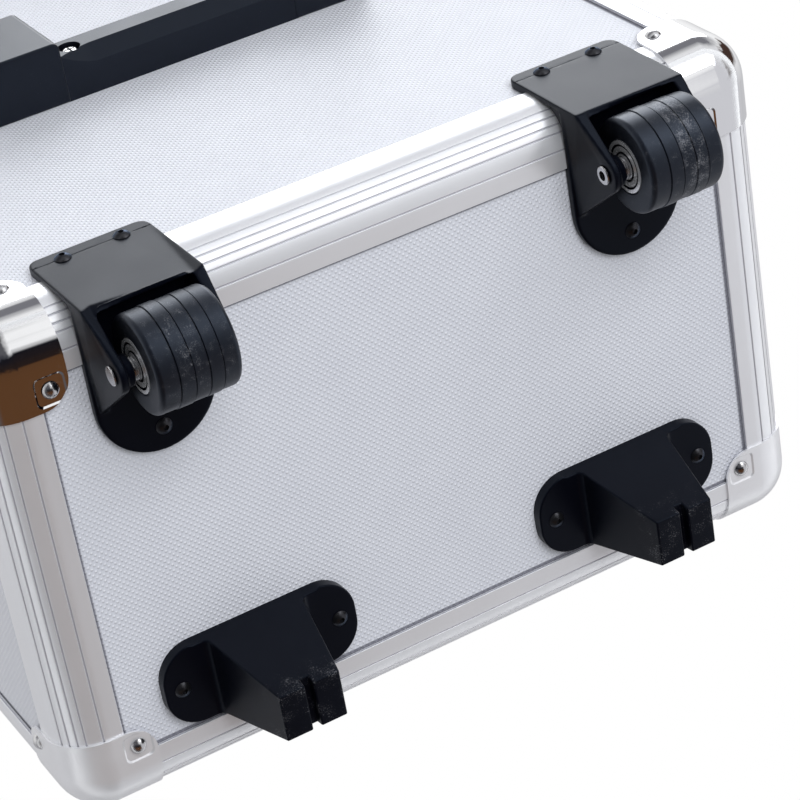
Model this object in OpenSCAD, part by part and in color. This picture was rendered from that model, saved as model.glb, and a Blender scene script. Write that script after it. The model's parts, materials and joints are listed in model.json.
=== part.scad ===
// Rolling makeup case: an aluminium-railed box on two wheels and two feet, with a
// telescopic trolley handle and two lid flaps that swing out with their trays.
// X runs to the right seen from the front, Y to the back, Z up from the floor.

/* [Case] */
// Width over the rails
case_w = 356; // [340:1:380]
// Depth over the rails
case_d = 227; // [215:1:245]
// Height of the body, from the underside of the rails to the rim
body_h = 440; // [400:1:480]
// Height of the two lid flaps
lid_h = 96; // [94:1:115]
// Gap at the parting line between the body and the flaps
part_gap = 0.8; // [0.5:0.1:1.5]
// Gap between the two flaps
split_gap = 1.2; // [0.8:0.1:2]
// Thickness of the wall panels
panel_t = 4; // [3:0.5:5]
// Thickness of the lining on the inside of the body
lining_t = 1; // [0.6:0.1:1.5]
// Height of the lining above the bottom panel
lining_h = 330; // [280:5:350]

/* [Rails] */
// Width of the rail on each face
rail_leg = 25.5; // [24:0.5:28]
// Radius of the rail's outer corner
rail_r = 20; // [17:0.5:21]
// Wall thickness of the rail
rail_wall = 1.6; // [1.4:0.1:2]
// Thickness of the rail's inner lips
lip_t = 1.2; // [1:0.1:1.6]
// Play between a panel's edge and its slot
slot_play = 0.1; // [0.05:0.05:0.2]
// Height of the channel that caps a free panel edge
edge_h = 14; // [12:0.5:18]
// Width of a fine groove along the rail
groove_w = 0.7; // [0.4:0.1:1]
// Depth of a fine groove along the rail
groove_deep = 0.5; // [0.3:0.1:0.8]

/* [Corners] */
// Reach of a corner cap along each edge
cap_reach = 38; // [34:0.5:42]
// Sheet thickness of a corner cap
cap_t = 1; // [0.8:0.1:1.4]
// Radius of the cap's inner corner on each face
cap_tab_r = 12; // [6:0.5:14]
// Distance of a cap rivet from the two edges
rivet_in = 30; // [28:0.5:32]
// Diameter of a cap rivet's head
rivet_d = 7; // [5:0.5:8]
// Diameter of a cap rivet's shank
rivet_shank_d = 3.4; // [2.6:0.1:4]

/* [Wheels] */
// Wheel diameter
wheel_d = 41; // [36:1:44]
// Wheel width
wheel_w = 34.4; // [30:0.2:36]
// Distance from the side face in to the middle of a wheel housing
wheel_x = 70; // [65:0.2:74]
// Sideways shift of a wheel from the middle of its housing, to the left
wheel_shift = 2.8; // [0:0.1:4]
// Distance from the back face in to the axle
axle_in = 19.5; // [18:0.5:22]
// Axle diameter
axle_d = 6; // [5:0.5:8]
// Radial play of the bearing on the axle
axle_play = 0.03; // [0.02:0.01:0.06]
// Outer diameter of a wheel bearing
bearing_d = 22; // [20:0.5:24]
// Width of a wheel bearing
bearing_w = 7; // [6:0.5:8]
// Gap between the wheel and the plate above it
wheel_top_gap = 3.7; // [2:0.1:5]
// Depth of a fine groove round the wheel
tread_deep = 0.5; // [0.3:0.1:0.8]

/* [Wheel housings] */
// Width of a wheel housing
housing_w = 51; // [49:0.5:56]
// Thickness of the housing's plates where they lie over the rails
housing_t = 2.2; // [2:0.1:4]
// Rise of the back plate above the underside of the rails
housing_rise = 39.6; // [37:0.5:44]
// Drop of the back plate below the underside of the rails
housing_drop = 12.4; // [10:0.2:13]
// Thickness of the ears that carry the axle
ear_t = 3.2; // [3:0.1:5]
// Radius of an ear round the axle
ear_r = 8; // [7:0.5:9]
// Radius of the boss on the right ear
boss_r = 6.5; // [5.5:0.5:7]
// Length of the steel spacer between that boss and the bearing
spacer_len = 2.4; // [1:0.1:3]
// Reach of the bottom lobe in from the back face
lobe_in = 72.5; // [70:0.5:80]
// Spacing of the two screws in the back plate
housing_screw_gap = 25; // [20:0.5:30]
// Distance of those screws from the plate's top edge
housing_screw_in = 7; // [6.5:0.5:8]
// Distance of the lobe screw from the lobe's end
lobe_screw_in = 10; // [8:0.5:12]

/* [Feet] */
// Distance from the side face in to the middle of a foot
foot_x = 89; // [82:0.2:94]
// Distance from the front face in to the middle of a foot
foot_y = 48; // [47:0.5:51]
// Length of the foot's plate
foot_plate_w = 88; // [84:0.5:96]
// Depth of the foot's plate
foot_plate_d = 37.5; // [35:0.5:38]
// Thickness of the foot's plate
foot_plate_t = 5; // [4:0.5:6]
// Width of the foot's block where it meets the plate
foot_top_w = 43.5; // [40:0.5:50]
// Width of the foot's tip
foot_tip_w = 27; // [24:0.5:30]
// Depth of the foot's tip
foot_tip_d = 21.5; // [18:0.5:24]
// Distance of the foot's tip in from the plate's back edge
foot_tip_in = 9.5; // [7:0.5:11]
// Width of the slot across the tip
foot_slot_w = 3.8; // [3:0.2:5]
// Depth of the slot across the tip
foot_slot_deep = 4.5; // [3:0.5:12]
// Spacing of the two foot screws
foot_screw_gap = 72.5; // [70:0.5:74]

/* [Screws] */
// Diameter of a button-head screw's head
screw_head_d = 7; // [6:0.5:8]
// Height of a button-head screw's head
screw_head_h = 2; // [1.6:0.1:2.6]
// Diameter of a screw's shank
screw_d = 3.4; // [3:0.1:4]
// Width of the hex socket across its corners
socket_d = 2.6; // [2:0.1:3]

/* [Trolley handle] */
// Distance from the side face in to the middle of a handle tube
tube_x = 105; // [100:0.5:110]
// Width of the outer tube
tube_w = 24; // [22:0.5:26]
// Depth of the outer tube
tube_deep = 16; // [14:0.5:17]
// Wall of the handle tubes
tube_wall = 1.2; // [1:0.1:1.4]
// Play between two handle tubes on each side
tube_play = 0.3; // [0.2:0.05:0.4]
// Depth of the trolley's blocks off the back face
trolley_deep = 26; // [24:0.5:30]
// Depth of the bar between the lower blocks
bar_deep = 19; // [16:0.5:21]
// Height of the bar between the lower blocks
bar_h = 17; // [15:0.5:20]
// Height of the lower blocks above the underside of the rails
trolley_rise = 171; // [160:1:180]
// Width of a trolley block
block_w = 36; // [33:0.5:38]
// Height of a lower trolley block
block_h = 46; // [40:1:52]
// Height of the collar at the top of the outer tubes
collar_h = 24; // [20:0.5:28]
// Drop of the collar below the rim
collar_drop = 16; // [15:0.5:22]
// Height of the ring on top of a middle tube
ferrule_h = 6; // [5:0.5:8]
// Height of the finger gap under the grip bar
grip_gap = 28; // [25:0.5:32]
// Thickness of the grip bar, up and down
grip_h = 22; // [20:0.5:26]
// Travel of the release button
button_travel = 4; // [3:0.5:5]

/* [Hinges and latches] */
// Distance of a flap hinge from the middle, front and back
hinge_y = 55; // [50:1:60]
// Length of a flap hinge
hinge_len = 46; // [42:1:50]
// Radius of a hinge knuckle
hinge_r = 3.2; // [3:0.1:3.6]
// Diameter of a hinge pin
hinge_pin_d = 3; // [2.6:0.1:3.2]
// Radial play of a hinge knuckle on its pin
hinge_play = 0.03; // [0.02:0.01:0.06]
// Thickness of a hinge leaf
leaf_t = 1.5; // [1.2:0.1:1.8]
// Distance of a latch from the side face
latch_x = 116; // [108:1:122]
// Width of a latch
latch_w = 34; // [30:1:38]
// Thickness of the latch plates
latch_t = 3; // [2.5:0.1:3.5]
// Height of a latch plate
latch_plate_h = 26; // [24:0.5:30]
// Thickness of a hasp
hasp_t = 2; // [1.6:0.1:2.4]
// Reach of a hasp below the parting line
hasp_reach = 22; // [18:0.5:24]

/* [Carry handle] */
// Distance of the handle's pivot from the centre line
handle_x = 28; // [27:0.5:34]
// Distance of each handle leg from the middle
handle_y = 60; // [54:1:66]
// Reach of the handle from its pivot to the grip's middle
handle_reach = 40; // [36:0.5:46]
// Radius of the handle's grip
handle_r = 8; // [7:0.5:9]
// Diameter of the handle's pivot pins
handle_pin_d = 5; // [4:0.5:6]

/* [Trays] */
// Height of a tray
tray_h = 34; // [30:1:34]
// Wall thickness of a tray
tray_wall = 2; // [1.6:0.1:2.5]
// Height of the lower tray's underside, below the rim
tray_drop = 8; // [6:0.5:9]
// Gap between the two trays of one side
tray_gap = 4; // [3:0.5:6]
// Distance of a tray from the centre line
tray_mid_gap = 10; // [8:0.5:14]
// Gap between a tray and the inside of the side wall
tray_side_gap = 14; // [13:0.5:17]
// Pivot spacing along an arm, from one tray to the next
arm_step = 60; // [56:1:60]
// Angle of the arms above level at rest
arm_rest = 30; // [29:0.5:32]
// Width of an arm
arm_w = 10; // [8:0.5:11]
// Thickness of an arm
arm_t = 2; // [1.5:0.1:2.2]
// Gap between layers of arms, trays and walls
layer_gap = 0.5; // [0.4:0.1:0.7]
// Distance of the outer arm pivot from the corner post's inner edge
pivot_in = 4; // [4:0.5:9]
// Distance of the outer arm pivot below the rim
pivot_drop = 18; // [17.5:0.5:20]
// Spacing of the two parallel arms
arm_gap = 20; // [18:0.5:22]
// Diameter of the pivot studs
stud_d = 4; // [3:0.5:5]
// Radial play of an arm on a stud
stud_play = 0.05; // [0.03:0.01:0.08]

/* [Hidden] */
$fn = 64;

// Outer size, seen from the case's own middle
half_w = case_w / 2;
half_d = case_d / 2;
wheel_r = wheel_d / 2;
wheel_mid = half_w - wheel_x;
foot_mid = half_w - foot_x;
tube_mid = half_w - tube_x;
latch_mid = half_w - latch_x;
base_z = wheel_d + wheel_top_gap + housing_t;
rim_z = base_z + body_h;
top_z = rim_z + lid_h;
flap_z = rim_z + part_gap;
hasp_play = 0.3;
front_reach = half_d + latch_t + 2 * hinge_r + hasp_play;
back_reach = half_d + trolley_deep;
// The case stands a little forward, so that the middle of the whole is at the origin
case_y = (front_reach - back_reach) / 2;
// Room round a pin, screw or tube in its own hole, and round a rail under its cap
fit = 0.02;

// Panels in their slots
slot_w = panel_t + 2 * slot_play;
panel_in = rail_wall + slot_play;
wall_in = rail_wall + slot_w + lip_t;
panel_edge = rail_r + slot_play;
panel_x = half_w - panel_edge;
panel_y = half_d - panel_edge;
panel_foot = base_z + panel_edge;
panel_cap = rail_wall + slot_play;
// Angles of the fine grooves round the rail, from its upper or outer face
groove_turns = [29.5, 40, 50.5, 60.5, 81];
rail_end_gap = 0.5;
rail_end = rail_leg + rail_end_gap;
lining_gap = 1;
panel_under = base_z + panel_in;

// Wheels and housings
axle_y = half_d - axle_in;
ear_play = 0.5;
ear_gap = wheel_w / 2 + wheel_shift + ear_play;
boss_gap = 0.3;
wheel_face = wheel_w / 2 - wheel_shift;
boss_end = wheel_face + boss_gap + spacer_len;
axle_end = ear_gap + ear_t;
axle_head_h = 1.2;
axle_head_r = axle_d / 2 + 1;
axle_bore_r = axle_d / 2 - 0.9;
axle_spacer_r = axle_d / 2 + 2;
hub_r = axle_d / 2 + 3;
tread_lines = [-0.275, -0.11, 0.07, 0.25];
plate_corner_r = 5;
screw_r = screw_d / 2 + fit;
lobe_y = half_d - lobe_in + housing_w / 2;

// Trolley handle, from the lower blocks up
block_z = base_z + trolley_rise;
tube_y = half_d + trolley_deep / 2;
tube_round = 5;
block_floor = 8;
tube_floor = block_z + block_floor;
tube_shrink = 2 * (tube_wall + tube_play);
collar_top = rim_z - collar_drop;
collar_lid = 3;
ferrule_top = collar_top + ferrule_h;
grip_rest_gap = 0.4;
grip_foot = ferrule_top + grip_rest_gap;
grip_under = grip_foot + grip_gap;
grip_top = grip_under + grip_h;
grip_deep = trolley_deep - 2;
leg_w = 30;
tube_stagger = 6;
button_w = 28;
button_deep = 11;
button_rise = 3;
button_h = 12;
button_round = 4;
button_fit = 0.3;
recess_deep = 9;
recess_r = 5;
bar_screw_in = 7;
bar_screw_x = tube_mid - block_w / 2 - bar_screw_in;

// Hinges and latches
knuckle_gap = 0.4;
hinge_x = half_w + hinge_r + knuckle_gap;
hinge_z = rim_z + part_gap / 2;
knuckle_len = hinge_len / 3;
leaf_h = edge_h - 1;
hasp_axis_y = -half_d - latch_t - hinge_r - hasp_play;
hasp_rise = 9;
hasp_axis_z = flap_z + hasp_rise;
hasp_gap = 0.5;
hasp_shoulder = 2;
lug_w = 6;
hasp_knuckle_w = latch_w - 2 * (lug_w + knuckle_gap);
lock_r = 6;
strike_below = 10;
strike_gap = 1;

// Carry handle
handle_z = top_z + handle_r;
bracket_w = 22;
bracket_foot = top_z - panel_in;
bracket_proud = 1;
leg_t = 7;

// Trays on their arms: the outer arms turn about one pivot, the inner about another
pivot_x = half_w - rail_leg - pivot_in;
pivot_z = rim_z - pivot_drop;
arm_lean = 15;
inner_shift = [-arm_gap * cos(arm_lean), -arm_gap * sin(arm_lean)];
outer_layer = half_d - wall_in - layer_gap;
inner_layer = outer_layer - arm_t - layer_gap;
tray_end = inner_layer - arm_t - layer_gap;
panel_back = half_d - panel_in - panel_t;
tray_x0 = tray_mid_gap;
tray_x1 = half_w - wall_in - tray_side_gap;
tray_z = rim_z - tray_drop;
spacer_wall = 1.2;
spacer_r = stud_d / 2 + spacer_wall;
stud_rim = 3;

panel_grey = [0.84, 0.85, 0.87];
rail_grey = [0.8, 0.81, 0.83];
chrome = [0.9, 0.91, 0.93];
black = [0.09, 0.09, 0.1];
steel = [0.7, 0.7, 0.72];
lining_black = [0.13, 0.13, 0.14];

module placed() translate([0, case_y, 0]) children();
module to_side(side) mirror([side < 0 ? 1 : 0, 0, 0]) children();
module to_end(end) mirror([0, end < 0 ? 1 : 0, 0]) children();

// A flat shape in X and Z, thickened backwards from y0
module upright(y0, t) translate([0, y0 + t, 0]) rotate([90, 0, 0]) linear_extrude(t) children();
// A flat shape in Y and Z, thickened to the right from x0
module sideways(x0, t) translate([x0, 0, 0]) rotate([90, 0, 90]) linear_extrude(t) children();
// A rod along X or along Y from a point
module rod_x(at, r, len) translate(at) rotate([0, 90, 0]) cylinder(r = r, h = len);
module rod_y(at, r, len) translate(at) rotate([-90, 0, 0]) cylinder(r = r, h = len);

module rounded_rect(w, h, r) {
  square([w - 2 * r, h], center = true);
  square([w, h - 2 * r], center = true);
  for (x = [-1, 1], y = [-1, 1]) translate([x * (w / 2 - r), y * (h / 2 - r)]) circle(r);
}

// The rail's section, with its outer corner at the origin and a slot for a panel in each leg
module rounded_corner(leg, r) intersection() {
  square(leg);
  union() {
    translate([r, r]) circle(r);
    translate([r, 0]) square([leg - r, leg]);
    translate([0, r]) square([leg, leg - r]);
  }
}
module slot_lips() {
  translate([rail_r - lip_t, rail_wall / 2]) square([lip_t, wall_in - rail_wall / 2]);
  translate([rail_r - lip_t, wall_in - lip_t]) square([rail_leg - rail_r + lip_t, lip_t]);
}
module rail_section() {
  difference() {
    rounded_corner(rail_leg, rail_r);
    translate([rail_wall, rail_wall]) rounded_corner(rail_leg, rail_r - rail_wall);
    for (turn = groove_turns) translate([rail_r, rail_r]) rotate(180 + turn)
      translate([rail_r - groove_deep, -groove_w / 2]) square([2 * groove_deep, groove_w]);
  }
  slot_lips();
  mirror([1, -1]) slot_lips();
}
// The channel on a free panel edge, with its closed side along the top
module edge_section() translate([0, -edge_h]) difference() {
  square([wall_in, edge_h]);
  translate([rail_wall, -1]) square([slot_w, edge_h - rail_wall + 1]);
}

module along_x(x0, x1) translate([x0, -half_d, 0]) rotate([90, 0, 90]) linear_extrude(x1 - x0) children();
module along_y(len) translate([-half_w, len / 2, 0]) rotate([90, 0, 0]) linear_extrude(len) children();
module post(z0, z1) translate([-half_w, -half_d, z0]) linear_extrude(z1 - z0) rail_section();

module bottom_panel() color(panel_grey) placed()
  translate([-panel_x, -panel_y, panel_under]) cube([2 * panel_x, 2 * panel_y, panel_t]);
module end_wall(end) color(panel_grey) placed() to_end(end)
  translate([-panel_x, half_d - panel_in - panel_t, panel_foot])
    cube([2 * panel_x, panel_t, rim_z - panel_cap - panel_foot]);
module side_wall(side) color(panel_grey) placed() to_side(side)
  translate([half_w - panel_in - panel_t, -panel_y, panel_foot])
    cube([panel_t, 2 * panel_y, rim_z - panel_cap - panel_foot]);

// Lining sheets on the inside of the five panels
module body_lining() color(lining_black) placed() {
  sheet_z = base_z + rail_leg + lining_gap;
  x = half_w - panel_in - panel_t;
  y = half_d - panel_in - panel_t;
  side_len = 2 * (half_d - rail_leg - lining_gap);
  end_len = 2 * (half_w - rail_leg - lining_gap);
  translate([-end_len / 2, -side_len / 2, panel_under + panel_t]) cube([end_len, side_len, lining_t]);
  for (side = [-1, 1]) to_side(side)
    translate([x - lining_t, -side_len / 2, sheet_z]) cube([lining_t, side_len, lining_h]);
  for (end = [-1, 1]) to_end(end)
    translate([-end_len / 2, y - lining_t, sheet_z]) cube([end_len, lining_t, lining_h]);
}

module bottom_rail(end) color(rail_grey) placed() to_end(-end)
  translate([0, 0, base_z]) along_x(-half_w + rail_end, half_w - rail_end) rail_section();
module bottom_side_rails() color(rail_grey) placed() for (side = [-1, 1]) to_side(side)
  translate([0, 0, base_z]) along_y(2 * (half_d - rail_end)) rail_section();
module corner_posts() color(rail_grey) placed() for (side = [-1, 1], end = [-1, 1])
  to_side(side) to_end(end) post(base_z + rail_end, rim_z);
module rim_rails() color(rail_grey) placed() translate([0, 0, rim_z]) {
  for (end = [-1, 1]) to_end(end) along_x(-half_w + rail_end, half_w - rail_end) edge_section();
  for (side = [-1, 1]) to_side(side) along_y(2 * (half_d - rail_end)) edge_section();
}

// A pressed corner cap: the rounded corner's skin, cut to a tab with a rivet hole on each face
module corner_block(r, reach) intersection() {
  cube(reach);
  union() {
    translate([r, r, r]) {
      sphere(r);
      cylinder(r = r, h = reach - r);
      rotate([0, 90, 0]) cylinder(r = r, h = reach - r);
      rotate([-90, 0, 0]) cylinder(r = r, h = reach - r);
    }
    translate([r, r, 0]) cube([reach - r, reach - r, reach]);
    translate([r, 0, r]) cube([reach - r, reach, reach - r]);
    translate([0, r, r]) cube([reach, reach - r, reach - r]);
  }
}
// Turns a feature made on the floor face to each of the corner's three faces
module on_three_faces() {
  children();
  mirror([0, 1, -1]) children();
  mirror([1, 0, -1]) children();
}
module tab_cut() translate([cap_reach - cap_tab_r, cap_reach - cap_tab_r, -2 * cap_t]) difference() {
  cube([2 * cap_tab_r, 2 * cap_tab_r, 3 * cap_t]);
  translate([0, 0, -1]) cylinder(r = cap_tab_r, h = 3 * cap_t + 2);
}
module corner_cap() difference() {
  translate([-cap_t, -cap_t, -cap_t]) corner_block(rail_r + cap_t, cap_reach + cap_t);
  translate([-fit, -fit, -fit]) corner_block(rail_r + fit, cap_reach + 2 * cap_t);
  on_three_faces() tab_cut();
  on_three_faces() translate([rivet_in, rivet_in, -2 * cap_t])
    cylinder(r = rivet_shank_d / 2 + fit, h = 3 * cap_t);
}
module cap_rivets() on_three_faces() translate([rivet_in, rivet_in, 0]) {
  translate([0, 0, -cap_t]) cylinder(d = rivet_shank_d, h = cap_t + panel_in);
  translate([0, 0, -cap_t]) intersection() {
    translate([0, 0, rivet_d / 4]) sphere(d = rivet_d * 1.12);
    translate([0, 0, -rivet_d]) cylinder(d = 2 * rivet_d, h = rivet_d);
  }
}
module bottom_corners() color(chrome) placed() for (side = [-1, 1], end = [-1, 1])
  to_side(side) to_end(end) translate([-half_w, -half_d, base_z]) corner_cap();
module corner_rivets() color(steel) placed() for (side = [-1, 1], end = [-1, 1])
  to_side(side) to_end(end) translate([-half_w, -half_d, base_z]) cap_rivets();

// Point where a line from a point touches a circle, on the side given by way
function touch_point(from, centre, r, way) =
  let (v = from - centre, turn = atan2(v[1], v[0]) + way * acos(r / norm(v)))
  centre + r * [cos(turn), sin(turn)];

// Wheel housing: a back plate, a bottom lobe and two ears for the axle, one with a boss
module back_plate_outline() {
  h = housing_rise + housing_drop;
  translate([0, base_z + (housing_rise - housing_drop) / 2]) {
    rounded_rect(housing_w, h, plate_corner_r);
    translate([-housing_w / 2, -h / 2]) square([housing_w, h / 2]);
  }
}
module lobe_outline() {
  translate([0, lobe_y]) circle(housing_w / 2);
  translate([-housing_w / 2, lobe_y]) square([housing_w, half_d + housing_t - lobe_y]);
}
module ear_outline() {
  hub = [axle_y, wheel_r];
  back = [half_d + housing_t, base_z - housing_drop];
  front = [lobe_y, base_z - housing_t];
  polygon([[half_d, base_z], [back[0], base_z], back, touch_point(back, hub, ear_r, -1),
    touch_point(front, hub, ear_r, 1), front, [front[0], base_z]]);
  translate(hub) circle(ear_r);
}
module back_screws() for (x = [-1, 1])
  translate([x * housing_screw_gap / 2, half_d + housing_t, base_z + housing_rise - housing_screw_in])
    rotate([-90, 0, 0]) children();
module lobe_screw() translate([0, half_d - lobe_in + lobe_screw_in, base_z - housing_t])
  rotate([180, 0, 0]) children();
module at_housing(side) placed() translate([side * wheel_mid, 0, 0]) children();
module wheel_housing(side) color(black) at_housing(side) difference() {
  union() {
    upright(half_d, housing_t) back_plate_outline();
    upright(half_d - panel_in, panel_in) intersection() {
      back_plate_outline();
      translate([-housing_w, base_z + rail_leg]) square([2 * housing_w, housing_rise]);
    }
    translate([0, 0, base_z - housing_t]) linear_extrude(housing_t) lobe_outline();
    translate([0, 0, base_z]) linear_extrude(panel_in) intersection() {
      lobe_outline();
      translate([-housing_w, half_d - rail_leg - lobe_in]) square([2 * housing_w, lobe_in]);
    }
    for (x = [-1, 1]) to_side(x) sideways(ear_gap, ear_t) ear_outline();
    rod_x([boss_end, axle_y, wheel_r], boss_r, axle_end - boss_end);
  }
  rod_x([-housing_w, axle_y, wheel_r], axle_d / 2 + fit, 2 * housing_w);
  back_screws() translate([0, 0, -lobe_in]) cylinder(r = screw_r, h = 2 * lobe_in);
  lobe_screw() translate([0, 0, -housing_w]) cylinder(r = screw_r, h = 2 * housing_w);
}

// Tubular rivet through the ears, with a spacer: one closed head, one open end
module wheel_axles() color(steel) for (side = [-1, 1]) at_housing(side)
  translate([0, axle_y, wheel_r]) difference() {
    union() {
      rod_x([-axle_end, 0, 0], axle_d / 2, 2 * axle_end);
      rod_x([wheel_face + boss_gap, 0, 0], axle_spacer_r, spacer_len);
      for (x = [-1, 1]) to_side(x) rod_x([axle_end, 0, 0], axle_head_r, axle_head_h);
    }
    to_side(-side) rod_x([axle_end - 2 * axle_d, 0, 0], axle_bore_r, 3 * axle_d);
  }

// Wheel: a roller with fine grooves, and a bearing in each face
module wheel_half_section() difference() {
  round_r = 2;
  union() {
    translate([0, -wheel_w / 2]) square([wheel_r - round_r, wheel_w]);
    translate([0, -wheel_w / 2 + round_r]) square([wheel_r, wheel_w - 2 * round_r]);
    for (y = [-1, 1]) translate([wheel_r - round_r, y * (wheel_w / 2 - round_r)]) circle(round_r);
  }
  translate([-1, -wheel_w]) square([hub_r + 1, 2 * wheel_w]);
  for (y = [-1, 1]) translate([-1, y * wheel_w / 2 - bearing_w])
    square([bearing_d / 2 + fit + 1, 2 * bearing_w]);
  for (at = tread_lines) translate([wheel_r - tread_deep, at * wheel_w - groove_w / 2])
    square([2 * tread_deep, groove_w]);
}
module at_wheel(side) at_housing(side) translate([-wheel_shift, axle_y, wheel_r]) rotate([0, 90, 0])
  children();
module wheel(side) color(black) at_wheel(side) rotate_extrude() wheel_half_section();
module wheel_bearings(side) color(steel) at_wheel(side) for (face = [0, 1]) mirror([0, 0, face])
  translate([0, 0, wheel_w / 2 - bearing_w]) difference() {
    cylinder(d = bearing_d, h = bearing_w);
    translate([0, 0, -1]) cylinder(r = axle_d / 2 + axle_play, h = bearing_w + 2);
  }

// Button-head screw with a hex socket, its head's underside at the origin
module button_screw(len) difference() {
  union() {
    translate([0, 0, -len]) cylinder(d = screw_d, h = len);
    intersection() {
      cylinder(d = screw_head_d, h = screw_head_h);
      translate([0, 0, screw_head_h - screw_head_d * 0.62]) sphere(d = 1.24 * screw_head_d);
    }
  }
  translate([0, 0, screw_head_h / 3]) cylinder(d = socket_d, h = screw_head_h, $fn = 6);
}
module housing_screws() color(steel) for (side = [-1, 1]) at_housing(side) {
  back_screws() button_screw(housing_t + panel_in);
  lobe_screw() button_screw(housing_t + panel_in);
}

// Foot: a plate with a tapered block that stands on its slotted tip
module at_foot(side) placed() to_side(side) translate([foot_mid, foot_y - half_d, 0]) children();
module foot_screw_places() for (x = [-1, 1])
  translate([x * foot_screw_gap / 2, 0, panel_under - foot_plate_t]) rotate([180, 0, 0]) children();
module foot(side) color(black) at_foot(side) difference() {
  half = foot_plate_d / 2;
  tip_back = half - foot_tip_in;
  union() {
    translate([0, 0, panel_under - foot_plate_t]) linear_extrude(foot_plate_t)
      rounded_rect(foot_plate_w, foot_plate_d, foot_plate_d * 0.42);
    intersection() {
      upright(-half, foot_plate_d) polygon([[-foot_top_w / 2, panel_under], [foot_top_w / 2, panel_under],
        [foot_tip_w / 2, 0], [-foot_tip_w / 2, 0]]);
      sideways(-foot_top_w / 2, foot_top_w) polygon([[-half, panel_under], [half, panel_under],
        [tip_back, 0], [tip_back - foot_tip_d, 0]]);
    }
  }
  sideways(-foot_top_w / 2, foot_top_w) polygon([[half, panel_under], [tip_back, 0], [foot_plate_d, 0],
    [foot_plate_d, panel_under]]);
  translate([-foot_slot_w / 2, -foot_plate_d, -1])
    cube([foot_slot_w, 2 * foot_plate_d, foot_slot_deep + 1]);
  foot_screw_places() translate([0, 0, -2 * foot_plate_t]) cylinder(r = screw_r, h = 3 * foot_plate_t);
}
module foot_screws() color(steel) for (side = [-1, 1]) at_foot(side)
  foot_screw_places() button_screw(foot_plate_t);

// Trolley: lower bracket, outer tubes, collar, middle and inner tubes, grip and button
module tube_outline(shrink, grow = 0)
  rounded_rect(tube_w - shrink + 2 * grow, tube_deep - shrink + 2 * grow, tube_round - shrink / 2 + grow);
module at_tubes() for (side = [-1, 1]) translate([side * tube_mid, tube_y, 0]) children();
module tubes(shrink, z0, z1) at_tubes() translate([0, 0, z0]) linear_extrude(z1 - z0) difference() {
  tube_outline(shrink);
  tube_outline(shrink + 2 * tube_wall);
}
module block_outline(w) {
  corner = 3;
  translate([0, half_d + trolley_deep / 2]) rounded_rect(w, trolley_deep, corner);
  translate([-w / 2, half_d - panel_in]) square([w, trolley_deep / 2]);
}
module bar_screws() for (x = [-1, 1]) translate([x * bar_screw_x, half_d + bar_deep, block_z + bar_h / 2])
  rotate([-90, 0, 0]) children();
module collar_screws() for (x = [-1, 1])
  translate([x * bar_screw_x, half_d + trolley_deep, collar_top - collar_h / 2])
    rotate([-90, 0, 0]) children();
module screw_recess(len) {
  translate([0, 0, -recess_deep]) cylinder(r = recess_r, h = 2 * recess_deep);
  translate([0, 0, -2 * len]) cylinder(r = screw_r, h = 2 * len);
}
module trolley_base() color(black) placed() difference() {
  chamfer = 5;
  bar_back = half_d + bar_deep;
  union() {
    sideways(-tube_mid, 2 * tube_mid) polygon([[half_d - panel_in, block_z], [bar_back - chamfer, block_z],
      [bar_back, block_z + chamfer], [bar_back, block_z + bar_h], [half_d - panel_in, block_z + bar_h]]);
    for (side = [-1, 1]) translate([side * tube_mid, 0, block_z])
      linear_extrude(block_h) block_outline(block_w);
  }
  at_tubes() translate([0, 0, tube_floor]) linear_extrude(block_h) tube_outline(0, fit);
  bar_screws() screw_recess(bar_deep);
}
module trolley_collar() color(black) placed() difference() {
  collar_foot = collar_top - collar_h;
  translate([0, 0, collar_foot]) linear_extrude(collar_h) block_outline(2 * tube_mid + block_w);
  at_tubes() translate([0, 0, collar_foot - 1]) linear_extrude(collar_h + 1 - collar_lid)
    tube_outline(0, fit);
  at_tubes() translate([0, 0, collar_foot]) linear_extrude(2 * collar_h)
    tube_outline(tube_shrink, tube_play);
  collar_screws() screw_recess(trolley_deep);
}
module trolley_screws() color(steel) placed() {
  bar_screws() translate([0, 0, -recess_deep]) button_screw(bar_deep - recess_deep + panel_in);
  collar_screws() translate([0, 0, -recess_deep]) button_screw(trolley_deep - recess_deep + panel_in);
}
module guide_tubes() color(steel) placed() tubes(0, tube_floor, collar_top - collar_lid);
module middle_tubes() color(steel) placed() {
  tubes(tube_shrink, tube_floor + tube_stagger, ferrule_top);
  at_tubes() translate([0, 0, collar_top + tube_play]) linear_extrude(ferrule_h - tube_play) difference() {
    tube_outline(0);
    tube_outline(tube_shrink + tube_wall);
  }
}
module inner_tubes() color(steel) placed()
  tubes(2 * tube_shrink, tube_floor + 2 * tube_stagger, grip_under + tube_stagger);
module button_outline(grow) translate([0, tube_y])
  rounded_rect(button_w + 2 * grow, button_deep + 2 * grow, button_round + grow);
module trolley_grip() color(black) placed() difference() {
  bar_round = 7;
  leg_round = 5;
  pocket = button_h - button_rise + button_travel + button_fit;
  union() {
    sideways(-tube_mid, 2 * tube_mid) translate([tube_y, grip_under + grip_h / 2])
      rounded_rect(grip_deep, grip_h, bar_round);
    at_tubes() translate([0, 0, grip_foot]) linear_extrude(grip_top - grip_foot)
      rounded_rect(leg_w, grip_deep, leg_round);
  }
  at_tubes() translate([0, 0, grip_foot - 1]) linear_extrude(grip_gap + tube_stagger + 1)
    tube_outline(2 * tube_shrink, fit);
  translate([0, 0, grip_top - pocket]) linear_extrude(2 * pocket) button_outline(button_fit);
}
module release_button() color(steel) placed()
  translate([0, 0, grip_top + button_rise - button_h]) linear_extrude(button_h) button_outline(0);

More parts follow.
